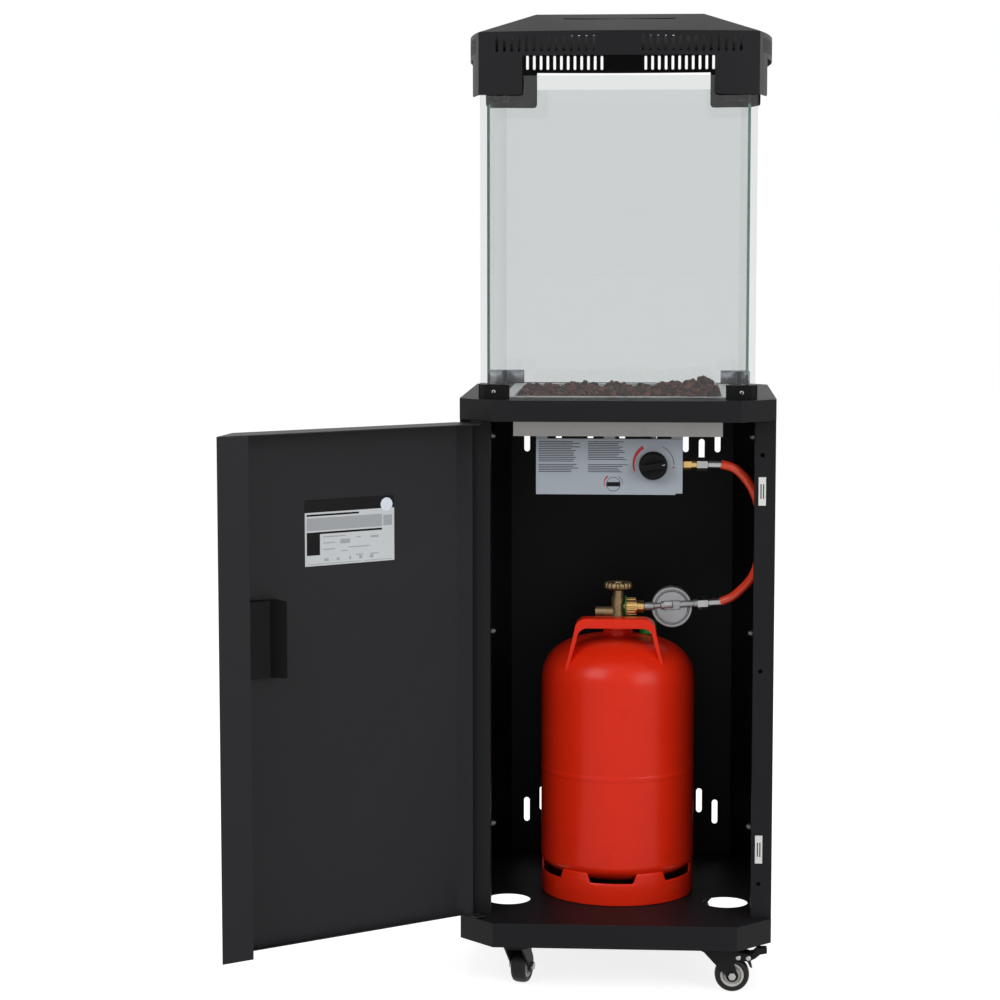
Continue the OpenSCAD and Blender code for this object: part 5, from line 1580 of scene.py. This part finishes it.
@dataclass
class Bottle:
    """Gas bottle: painted vessel, foot ring, carrying handle and brass hand wheel."""

    axis: Pair = (-0.001, -0.008)
    sharp: float = 40.0
    radius: float = 0.1145
    side_top: float = 0.420
    side_gap: float = 0.002
    dome: float = 0.073
    dome_steps: int = 26
    power: float = 2.6
    base: float = 0.127
    base_dome: float = 0.034
    base_steps: int = 14
    # Step from the vessel's side, and height
    weld: Profile = (
        (0.0, 0.289), (0.0, 0.290), (0.0003, 0.2906), (0.0005, 0.2918), (0.0005, 0.2962), (0.0003, 0.2974),
        (0.0, 0.2980), (0.0, 0.299),
    )
    neck: float = 0.022
    neck_top: float = 0.508
    # Step from the neck's radius, and rise from its top
    neck_ring: Profile = (
        (0.0, -0.009), (-0.0012, -0.0082), (-0.0012, -0.0068), (0.0, -0.006), (0.0, -0.001), (-0.001, 0.0),
    )
    bore: float = 0.0092
    round_steps: int = 128
    ring_radius: float = 0.1135
    ring_wall: float = 0.003
    ring_heights: Point = (0.105, 0.1387, 0.1527)
    ring_steps: int = 480
    # Step from the wall, number of the ring's height, and rise from it
    ring_outside: tuple[Rise, ...] = (
        (-0.0022, 0, 0.0), (-0.0006, 0, 0.0008), (0.0, 0, 0.0026), (0.0, 1, -0.0040), (0.0, 2, -0.0020),
        (-0.0002, 2, -0.0008), (-0.0009, 2, 0.0),
    )
    ring_inside: tuple[Rise, ...] = (
        (0.0009, 2, 0.0), (0.0, 2, -0.0012), (0.0, 1, -0.0040), (0.0, 0, 0.0010), (0.0004, 0, 0.0),
    )
    openings: int = 6
    opening_turn: float = -93.0
    opening_half: Pair = (16.0, 19.5)
    handle_x: float = -0.004
    handle_y: Pair = (-0.088, -0.056)
    handle_top: float = 0.527
    handle_half: float = 0.0430
    handle_bend: float = 0.0165
    handle_foot: Pair = (0.0750, -0.0820)
    handle_wall: float = 0.0030
    handle_steps: int = 8
    handle_ease: float = 0.0006
    handle_sharp: float = 50.0
    # Inset, drop and inset at the feet of the handle's inner lines
    strap: Point = (0.0030, 0.0030, 0.0031)
    web: Point = (0.0034, 0.0140, 0.0040)
    wheel_base: float = 0.5594
    wheel: Profile = (
        (0, 0.0), (0.0085, 0.0), (0.0095, 0.0010), (0.0150, 0.0022), (0.0180, 0.0024), (0.0200, 0.0034),
        (0.0210, 0.0056), (0.0210, 0.0085), (0.0203, 0.0108), (0.0186, 0.0122), (0.0166, 0.0122),
        (0.0150, 0.0112), (0.0120, 0.0104), (0.0090, 0.0106), (0.0080, 0.0116), (0.0078, 0.0136),
        (0.0060, 0.0140), (0.0, 0.0140),
    )
    wheel_steps: int = 192
    wheel_lobes: int = 16
    wheel_dip: float = 0.10
    stem: Profile = ((0.0, -0.0138), (0.0029, -0.0138), (0.0029, 0.0005), (0.0, 0.0005))
    stem_steps: int = 24

    def build(self) -> None:
        """Makes the vessel, the foot ring, the handle and the hand wheel."""
        self.build_vessel()
        self.build_foot_ring()
        self.build_handle()
        self.build_wheel()

    def _ring_top(self, angle: float) -> float:
        """Returns the height of the foot ring's upper edge.

        Args:
            angle: Direction from the bottle's axis in degrees.

        Returns:
            The height, lower inside an opening.
        """
        pitch = 360.0 / self.openings
        away = abs((angle - self.opening_turn + pitch / 2) % pitch - pitch / 2)
        inside, outside = self.opening_half
        share = min(1.0, max(0.0, (away - inside) / (outside - inside)))
        smooth = share * share * (3 - 2 * share)
        return self.ring_heights[1] + (self.ring_heights[2] - self.ring_heights[1]) * smooth

    def build_foot_ring(self) -> None:
        """Makes the foot ring with its openings along the upper edge."""
        shape = bmesh.new()
        outer, inner = self.ring_radius, self.ring_radius - self.ring_wall
        low, mid, _ = self.ring_heights
        sections: list[list[bmesh.types.BMVert]] = []
        for k in range(self.ring_steps):
            a = 2 * math.pi * k / self.ring_steps
            levels = (low, mid, self._ring_top(math.degrees(a)))
            section = [(outer + step, levels[level] + rise) for step, level, rise in self.ring_outside]
            section += [(inner + step, levels[level] + rise) for step, level, rise in self.ring_inside]
            sections.append([
                shape.verts.new((self.axis[0] + q * math.cos(a), self.axis[1] + q * math.sin(a), z))
                for q, z in section
            ])
        join_rows(shape, sections, True)
        ring = from_bmesh("foot_ring", shape, BOTTLE_PAINT, self.sharp)
        settle(ring, Body.CABINET.value, BOTTLE_PAINT, "bottle_foot_ring")

    def _arch(self, inset: float, drop: float, foot_inset: float) -> list[Pair]:
        """Returns one line of the handle's arch from its left foot to its right foot.

        Args:
            inset: How far the line lies inside the arch at its shoulders.
            drop: How far it lies below the arch's top.
            foot_inset: How far it lies inside at the feet.

        Returns:
            X and height of its points, from the arch's middle and top.
        """
        bend = self.handle_bend
        right: list[Pair] = []
        for k in range(self.handle_steps + 1):
            a = math.pi / 2 * (1 - k / self.handle_steps)
            x = self.handle_half - inset / 2 + (bend - inset / 2) * math.cos(a)
            right.append((x, -drop - bend + bend * math.sin(a)))
        right.append((self.handle_foot[0] - foot_inset, self.handle_foot[1]))
        return [(-x, z) for x, z in reversed(right)] + right

    def build_handle(self) -> None:
        """Bends the handle's strap and adds the web along its front edge."""
        shape = bmesh.new()
        front, back = self.handle_y
        behind = front + self.handle_wall
        lines = (self._arch(0.0, 0.0, 0.0), self._arch(*self.strap), self._arch(*self.web))
        rows = []
        for outer, strap, web in zip(*lines):
            section = (
                (outer, front), (outer, back), (strap, back), (strap, behind), (web, behind), (web, front),
            )
            rows.append([
                shape.verts.new((self.handle_x + x, y, self.handle_top + z)) for (x, z), y in section
            ])
        join_rows(shape, rows, False)
        bmesh.ops.recalc_face_normals(shape, faces=shape.faces)
        limit = math.radians(self.handle_sharp)
        sharp = [edge for edge in shape.edges if edge.calc_face_angle(0.0) > limit]
        bmesh.ops.bevel(shape, geom=sharp, offset=self.handle_ease, segments=2, affect="EDGES", profile=0.5)
        handle = from_bmesh("carry_handle", shape, BOTTLE_PAINT, self.sharp)
        settle(handle, Body.CABINET.value, BOTTLE_PAINT, "bottle_handle")

    def build_vessel(self) -> None:
        """Turns the vessel with its weld seam and its neck ring."""
        r = self.radius
        quarter = math.pi / 2
        profile: list[Pair] = []
        for k in range(self.base_steps + 1):
            a = quarter * k / self.base_steps
            profile.append((r * math.sin(a), self.base + self.base_dome * (1 - math.cos(a))))
        profile.append((r, self.base + self.base_dome + self.side_gap))
        profile += [(r + proud, height) for proud, height in self.weld]
        profile.append((r, self.side_top - self.side_gap))
        first = math.asin((self.neck / r) ** (self.power / 2))
        for k in range(self.dome_steps + 1):
            a = quarter - (quarter - first) * k / self.dome_steps
            rise = self.dome * math.cos(a) ** (2 / self.power)
            profile.append((r * math.sin(a) ** (2 / self.power), self.side_top + rise))
        profile += [(self.neck + step, self.neck_top + rise) for step, rise in self.neck_ring]
        profile.append((self.bore, self.neck_top))
        shape = bmesh.new()
        add_lathe(shape, profile, Matrix.Translation((*self.axis, 0.0)), self.round_steps)
        vessel = from_bmesh("bottle_vessel", shape, BOTTLE_PAINT, self.sharp)
        settle(vessel, Body.CABINET.value, BOTTLE_PAINT, "bottle_body")

    def build_wheel(self) -> None:
        """Turns the lobed hand wheel and the stem under it."""
        shape = bmesh.new()
        base = Matrix.Translation((*self.axis, self.wheel_base))
        add_lathe(shape, self.wheel, base, self.wheel_steps, self.wheel_lobes, self.wheel_dip)
        add_lathe(shape, self.stem, base, self.stem_steps)
        wheel = from_bmesh("hand_wheel", shape, OLD_BRASS, self.sharp)
        settle(wheel, Body.HANDWHEEL.value, OLD_BRASS, "valve_handwheel")


@dataclass
class ControlPanel:
    """Knob and print of the control panel."""

    knob: Point = (0.051, -0.1565, 0.760)
    knob_radius: float = 0.0205
    knob_tilt: float = 10.0
    knob_steps: int = 96
    knob_sharp: float = 40.0
    # Step from the knob's radius, and height
    knob_rim: Profile = (
        (-0.0006, 0.0), (0.0, 0.0006), (0.0, 0.0030), (-0.0006, 0.0036), (-0.0014, 0.0100), (-0.0022, 0.0114),
        (-0.0036, 0.0121),
    )
    knob_face: Profile = ((0.012, 0.0116), (0, 0.0112))
    grip: Block = ((-0.0189, -0.0220, -0.0048), (0.0189, -0.0100, 0.0048), 0.0020)
    pointer: Block = ((0.0130, -0.02206, -0.0006), (0.0173, -0.0212, 0.0006), 0.0002)
    face: float = -0.1515
    proud: float = 0.00012
    heat_radius: float = 0.0268
    heat_width: Pair = (0.0054, 0.0020)
    heat_span: Pair = (119, 199)
    spark_radius: float = 0.0294
    spark_width: Pair = (0.0008, 0.0008)
    spark_span: Pair = (2, 63)
    dot: Pair = (0.0803, 0.7570)
    dot_radius: float = 0.0014
    sketch: Pair = (-0.0060, 0.7325)
    # Radius, width at both ends, and span in degrees
    sketch_heat: tuple[float, Pair, Pair] = (0.0128, (0.0024, 0.0006), (125, 195))
    sketch_spark: tuple[float, Pair, Pair] = (0.0130, (0.0006, 0.0006), (2, 60))
    sketch_ring: tuple[float, Pair, Pair] = (0.0096, (0.0007, 0.0007), (0, 360))
    sketch_ring_steps: int = 40
    sketch_bar: Pair = (0.0093, 0.0031)
    sketch_bar_round: float = 0.0012
    # Start of the first row, full width and number of rows
    blocks: tuple[tuple[Pair, float, int], ...] = (
        ((-0.1135, 0.7935), 0.062, 12), ((-0.1135, 0.7605), 0.060, 5),
        ((-0.0425, 0.7935), 0.058, 11), ((-0.0425, 0.7605), 0.058, 5),
    )
    row_pitch: float = 0.00255
    row_height: float = 0.00120
    row_shares: Pair = (0.72, 1.0)
    row_seed: int = 23

    def build(self) -> None:
        """Makes the knob and the print."""
        self.build_knob()
        self.build_scale()
        self.build_lines()

    def build_knob(self) -> None:
        """Makes the round knob body with its grip bar and pointer."""
        shape = bmesh.new()
        rim = [(self.knob_radius + step, height) for step, height in self.knob_rim]
        add_lathe(shape, [(0, 0), *rim, *self.knob_face], along((0, -1, 0), self.knob), self.knob_steps)
        tilt = Matrix.Translation(self.knob) @ Matrix.Rotation(math.radians(-self.knob_tilt), 4, "Y")
        add_block(shape, *self.grip, tilt)
        knob = from_bmesh("knob", shape, BLACK_PLASTIC, self.knob_sharp)
        settle(knob, Body.KNOB.value, BLACK_PLASTIC, "control_knob")
        mark = bmesh.new()
        add_block(mark, *self.pointer, tilt)
        settle(from_bmesh("knob_pointer", mark, PLATE_GREY), Body.KNOB.value, PLATE_GREY)

    @staticmethod
    def _arc(center: Pair, radius: float, width: Pair, span: Pair, steps: int = 28) -> list[Edges]:
        """Returns the two edges of a printed arc whose width may taper.

        Args:
            center: X and Z of its centre.
            radius: Radius of its inner edge.
            width: Width at its first and its last end.
            span: First and last angle in degrees, from +X towards +Z.
            steps: Number of steps along it.

        Returns:
            The inner and the outer point of each step, without the last one for a full circle.
        """
        whole = abs(span[1] - span[0]) >= 360
        sides: list[Edges] = []
        for k in range(steps if whole else steps + 1):
            t = k / steps
            a = math.radians(span[0] + (span[1] - span[0]) * t)
            outer = radius + width[0] + (width[1] - width[0]) * t
            sides.append((
                (center[0] + radius * math.cos(a), center[1] + radius * math.sin(a)),
                (center[0] + outer * math.cos(a), center[1] + outer * math.sin(a)),
            ))
        return sides

    def _print(
        self,
        name: str,
        outlines: Sequence[Sequence[Pair]],
        finish: Any,
        arcs: Sequence[Sequence[Edges]] = (),
        rings: Sequence[Sequence[Edges]] = (),
    ) -> None:
        """Lays flat print on the panel's face.

        Args:
            name: Name of the piece.
            outlines: Filled forms as X, Z points.
            finish: Ink of the print.
            arcs: Open strips.
            rings: Closed strips.
        """
        shape = bmesh.new()
        depth = (self.face - self.proud, self.face)
        for outline in outlines:
            add_slab(shape, outline, depth, Matrix.Identity(4))
        for arc in arcs:
            add_strip(shape, arc, depth, False)
        for ring in rings:
            add_strip(shape, ring, depth, True)
        settle(from_bmesh(name, shape, finish), Body.CABINET.value, finish)

    def build_scale(self) -> None:
        """Prints the heat scale round the knob and the small dial sketch beside the lines."""
        center = (self.knob[0], self.knob[2])
        small = self.sketch
        x, z = self.dot
        r = self.dot_radius
        spot = rounded((x - r, z - r), (x + r, z + r), r, r)
        red = [
            self._arc(center, self.heat_radius, self.heat_width, self.heat_span),
            self._arc(small, *self.sketch_heat),
        ]
        self._print("heat_scale", [spot], PRINT_RED, red)
        x, z = small
        wide, tall = self.sketch_bar
        round_to = self.sketch_bar_round
        bar = rounded((x - wide, z - tall), (x + wide, z + tall), round_to, round_to)
        dark = [
            self._arc(center, self.spark_radius, self.spark_width, self.spark_span),
            self._arc(small, *self.sketch_spark),
        ]
        rim = self._arc(small, *self.sketch_ring, self.sketch_ring_steps)
        self._print("dial_sketch", [bar], DARK_PRINT_AND_SHADE, dark, [rim])

    def build_lines(self) -> None:
        """Prints plain grey bars where the panel carries its lines of small print."""
        rows: list[Point] = []
        for (x, z), width, count in self.blocks:
            rows += [(x, z - self.row_pitch * k, width) for k in range(count)]
        points = bpy.data.meshes.new("print_rows")
        points.from_pydata([(x, self.face, z) for x, z, _ in rows], [], [])
        reach = points.attributes.new("reach", "FLOAT", "POINT")
        for k, (_, _, width) in enumerate(rows):
            reach.data[k].value = width
        recipe = GeometryRecipe("print_rows")
        thick = recipe.size("Bar Height", self.row_height)
        proud = recipe.size("Proud", self.proud)
        share = recipe.random(*self.row_shares, self.row_seed, vector=False)
        full = recipe.node("GeometryNodeInputNamedAttribute", {"Name": "reach"}, data_type="FLOAT")
        length = recipe.node("ShaderNodeMath", {0: full.outputs[0], 1: share}, operation="MULTIPLY")
        cube = recipe.node("GeometryNodeMeshCube", {"Size": (1.0, 1.0, 1.0)})
        edge = recipe.node(
            "GeometryNodeTransform", {"Geometry": cube.outputs[0], "Translation": (0.5, -0.5, 0.0)}
        )
        scale = recipe.node("ShaderNodeCombineXYZ", {"X": length.outputs[0], "Y": proud, "Z": thick})
        bars = recipe.node(
            "GeometryNodeInstanceOnPoints",
            {"Points": recipe.source.outputs[0], "Instance": edge.outputs[0], "Scale": scale.outputs[0]},
        )
        recipe.finish(bars.outputs[0], PRINT_GREY)
        settle(recipe.make("small_print_bars", points), Body.CABINET.value, PRINT_GREY)


@dataclass
class Door:
    """Two-tone plate on the inside of the open door, with plain bars where it carries print."""

    hinge: Pair = (-0.1985, -0.195)
    open_angle: float = 143.0
    inner_face: float = -0.2235
    plate_x: Pair = (-0.0775, 0.0660)
    plate_z: Pair = (0.6328, 0.7250)
    band: float = 0.0177
    thick: float = 0.0004
    proud: float = 0.0001
    corner: float = 0.0028
    low_corner: float = 0.0006
    seam_corner: float = 0.0001
    # Side, radius and height of the seal
    seal: Point = (-0.0650, 0.0096, 0.7123)
    seal_steps: int = 40
    # Start and end across, then start and end downwards, as shares of the plate's white part
    dark_bars: tuple[Share, ...] = (
        (0.02, 0.60, 0.035, 0.070), (0.02, 0.86, 0.370, 0.408), (0.02, 0.165, 0.408, 0.800),
    )
    grey_bars: tuple[Share, ...] = (
        (0.02, 0.86, 0.105, 0.340), (0.875, 0.975, 0.130, 0.330), (0.20, 0.45, 0.455, 0.475),
        (0.20, 0.33, 0.570, 0.590), (0.39, 0.50, 0.530, 0.610), (0.57, 0.62, 0.500, 0.520),
        (0.73, 0.82, 0.500, 0.540), (0.20, 0.33, 0.690, 0.710), (0.48, 0.72, 0.680, 0.700),
        (0.40, 0.47, 0.740, 0.760), (0.56, 0.65, 0.830, 0.850), (0.73, 0.82, 0.830, 0.850),
        (0.21, 0.26, 0.870, 0.920), (0.35, 0.38, 0.870, 0.920), (0.49, 0.51, 0.860, 0.920),
        (0.60, 0.635, 0.860, 0.920), (0.72, 0.76, 0.860, 0.920), (0.02, 0.62, 0.962, 0.972),
        (0.66, 0.97, 0.962, 0.972),
    )

    def closed_frame(self) -> Matrix:
        """Returns the transform from the closed door's place to the open one."""
        shift = Matrix.Translation((*self.hinge, 0.0))
        return shift @ Matrix.Rotation(math.radians(-self.open_angle), 4, "Z") @ shift.inverted()

    def build(self) -> None:
        """Makes the plate, its dark band, its bars and the round seal."""
        split = self.plate_z[1] - self.band
        left, right = self.plate_x
        body = rounded((left, self.plate_z[0]), (right, split), self.low_corner, self.seam_corner)
        band = rounded((left, split), (right, self.plate_z[1]), self.seam_corner, self.corner)
        x, radius, z = self.seal
        turns = [2 * math.pi * k / self.seal_steps for k in range(self.seal_steps)]
        ring = [(x + radius * math.cos(a), z + radius * math.sin(a)) for a in turns]
        base = self.inner_face
        face = base + self.thick
        self._lay("door_plate", [body], (base, face), PLATE_WHITE)
        self._lay("door_plate_band", [band], (base, face), DARK_PRINT_AND_SHADE)
        self._lay("door_plate_dark_bars", self._bars(self.dark_bars), (face, face + self.proud), DARK_PRINT_AND_SHADE)
        self._lay("door_plate_grey_bars", self._bars(self.grey_bars), (face, face + self.proud), PLATE_GREY)
        self._lay("door_plate_seal", [ring], (face, face + 2 * self.proud), SEAL_SILVER)

    def _bars(self, shares: Sequence[Share]) -> list[list[Pair]]:
        """Turns shares of the plate's white part into outlines.

        Args:
            shares: Start and end across from the outer side, then start and end downwards, zero to one.

        Returns:
            The outlines as X, Z points.
        """
        top = self.plate_z[1] - self.band
        width = self.plate_x[1] - self.plate_x[0]
        tall = top - self.plate_z[0]
        outlines: list[list[Pair]] = []
        for start, end, high, low in shares:
            x0, x1 = self.plate_x[1] - end * width, self.plate_x[1] - start * width
            z0, z1 = top - low * tall, top - high * tall
            outlines.append([(x0, z0), (x1, z0), (x1, z1), (x0, z1)])
        return outlines

    def _lay(self, name: str, outlines: Sequence[Sequence[Pair]], depth: Pair, finish: Any) -> None:
        """Lays flat shapes on the inside of the door.

        Args:
            name: Name of the piece.
            outlines: Shapes as X, Z points of the closed door.
            depth: Y of their back and their face on the closed door.
            finish: Their finish.
        """
        shape = bmesh.new()
        for outline in outlines:
            add_slab(shape, outline, depth, self.closed_frame())
        settle(from_bmesh(name, shape, finish), Body.DOOR.value, finish)


@dataclass
class Catches:
    """Steel pole bars in the faces of the two magnetic catches."""

    across: float = 0.206
    face: float = -0.1745
    heights: Pair = (0.2065, 0.7255)
    bar: Pair = (0.0017, 0.021)
    apart: float = 0.0036
    proud: float = 0.00015
    depth: float = 0.001
    ease: float = 0.0001

    def build(self) -> None:
        """Makes two bars in each catch."""
        shape = bmesh.new()
        wide, tall = self.bar
        for z in self.heights:
            for x in (self.across - self.apart / 2, self.across + self.apart / 2):
                low = (x - wide / 2, self.face - self.proud, z - tall / 2)
                high = (x + wide / 2, self.face + self.depth, z + tall / 2)
                add_block(shape, low, high, self.ease, Matrix.Identity(4))
        settle(from_bmesh("catch_pole_bars", shape, POLE_STEEL), Body.CABINET.value, POLE_STEEL)


@dataclass
class Casters:
    """Tyres and hubs of the four casters, and the rivets of the two brakes."""

    trail: float = 0.026
    radius: float = 0.025
    sharp: float = 40.0
    # Radius and height of one side, from the bore outwards
    tyre: Profile = (
        (0.01706, 0.0098), (0.0178, 0.0107), (0.0190, 0.0110), (0.0205, 0.0110), (0.0212, 0.0106),
        (0.0218, 0.0106), (0.0232, 0.0096), (0.0243, 0.0076), (0.02485, 0.0048), (0.0250, 0.0015),
        (0.0250, 0.0004),
    )
    tyre_steps: int = 96
    hub: Profile = (
        (0.00305, 0.0105), (0.0064, 0.0105), (0.0070, 0.0100), (0.0072, 0.0074), (0.0080, 0.0068),
        (0.0122, 0.0070), (0.0129, 0.0078), (0.0132, 0.0095), (0.0138, 0.0100), (0.0166, 0.0100),
        (0.0170, 0.0096),
    )
    hub_steps: int = 72
    cheek: float = 0.0145
    rivet: float = 0.0040
    # Share of the rivet's radius, and height
    rivet_dome: Profile = (
        (0.0, 0.0), (1.0, 0.0), (1.0, 0.0006), (0.86, 0.0015), (0.55, 0.0021), (0.0, 0.0023),
    )
    rivet_steps: int = 24
    rivets: tuple[Pair, ...] = ((0.0346, 0.0525), (0.0490, 0.0520))
    braked: tuple[Corner, ...] = (Corner.FRONT_RIGHT, Corner.REAR_LEFT)

    def build(self) -> None:
        """Makes a tyre and a hub for each caster, and rivets where it has a brake."""
        for corner in Corner:
            name, x, y, turn = corner.value
            a = math.radians(turn)
            middle = (x + self.trail * math.cos(a), y + self.trail * math.sin(a), self.radius)
            frame = along((math.sin(a), -math.cos(a), 0.0), middle)
            body = f"{Body.WHEELS.value}_{name}"
            tyre = self._turned(f"tyre_skin_{name}", frame, self.tyre, self.tyre_steps, TYRE_RUBBER)
            settle(tyre, body, TYRE_RUBBER, f"tyre_{name}")
            hub = self._turned(f"hub_{name}", frame, self.hub, self.hub_steps, HUB_PLASTIC)
            settle(hub, body, HUB_PLASTIC, f"wheel_{name}")
            if corner in self.braked:
                self._rivets(name, Matrix.Translation((x, y, 0.0)) @ Matrix.Rotation(a, 4, "Z"))

    def _turned(self, name: str, frame: Matrix, half: Profile, steps: int, finish: Any) -> bpy.types.Object:
        """Turns a ring that is the same on both sides.

        Args:
            name: Name of the piece.
            frame: Axle frame, +Z along the axle.
            half: Radius and height of one side, from its bore outwards.
            steps: Points round it.
            finish: Its finish.

        Returns:
            The new piece.
        """
        loop = [*half, *((radius, -height) for radius, height in reversed(half))]
        shape = bmesh.new()
        add_lathe(shape, [*loop, loop[0]], frame, steps)
        return from_bmesh(name, shape, finish, self.sharp)

    def _rivets(self, name: str, frame: Matrix) -> None:
        """Makes the domed rivet heads of a brake on both cheeks of its fork.

        Args:
            name: Corner of the caster.
            frame: Swivel frame, +X towards the trailing wheel.
        """
        shape = bmesh.new()
        dome = [(self.rivet * share, height) for share, height in self.rivet_dome]
        for ahead, height in self.rivets:
            for side in (-1, 1):
                place = along((0, side, 0), (ahead, side * self.cheek, height))
                add_lathe(shape, dome, frame @ place, self.rivet_steps)
        settle(from_bmesh(f"brake_rivets_{name}", shape, ZINC), f"{Body.FORKS.value}_{name}", ZINC)


@dataclass
class CarriedSolids:
    """Finishes of the solids that stay in sight."""

    finishes: dict[str, Any] = field(
        default_factory=lambda: {
            "magnetic_catches": WHITE_PLASTIC, "burner_pan": STAINLESS, "burner_plate": STAINLESS,
            "control_panel": PANEL_COAT, "gas_valve": CAST_ALLOY, "gas_pipe": STAINLESS,
            "inlet_fitting": BRASS, "hose_fittings": ZINC, "union_nut": BRASS, "bottle_valve": OLD_BRASS,
            "outlet_cap": GREEN_PLASTIC, "glass_front": FRONT_GLASS, "glass_rear": FRONT_GLASS,
            "glass_left": SIDE_GLASS, "glass_right": SIDE_GLASS, "glass_brackets": BLACK_PLASTIC,
            "hood_clips": BLACK_PLASTIC, "valve_spindle": ZINC, "door_panel": DOOR_COAT_PAINTED_LIGHTER,
            "door_handle_cup": BLACK_PLASTIC,
        }
    )

    def build(self, nodes: dict[str, bpy.types.Object]) -> None:
        """Gives every solid a finish, black coat where none is listed.

        Args:
            nodes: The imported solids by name.
        """
        for name, solid in nodes.items():
            finish = self.finishes.get(name, ZINC if name.startswith("axle_") else BLACK_COAT)
            if not solid.material_slots:
                solid.data.materials.append(SHELF.material(finish))
            for slot in solid.material_slots:
                slot.material = SHELF.material(finish)
            LOG.info("solid %s: %s", name, finish.name)


def main() -> None:
    """Builds the studio, the fine pieces and the finishes in order."""
    logging.basicConfig(level=logging.INFO, format="%(name)s: %(message)s")
    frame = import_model()
    Studio().build()
    GasLine().build()
    FireBed().build()
    Fixings().build()
    BracketLiners().build()
    Bottle().build()
    ControlPanel().build()
    Door().build()
    Catches().build()
    Casters().build()
    CarriedSolids().build(frame["nodes"])


if __name__ == "__main__":
    main()
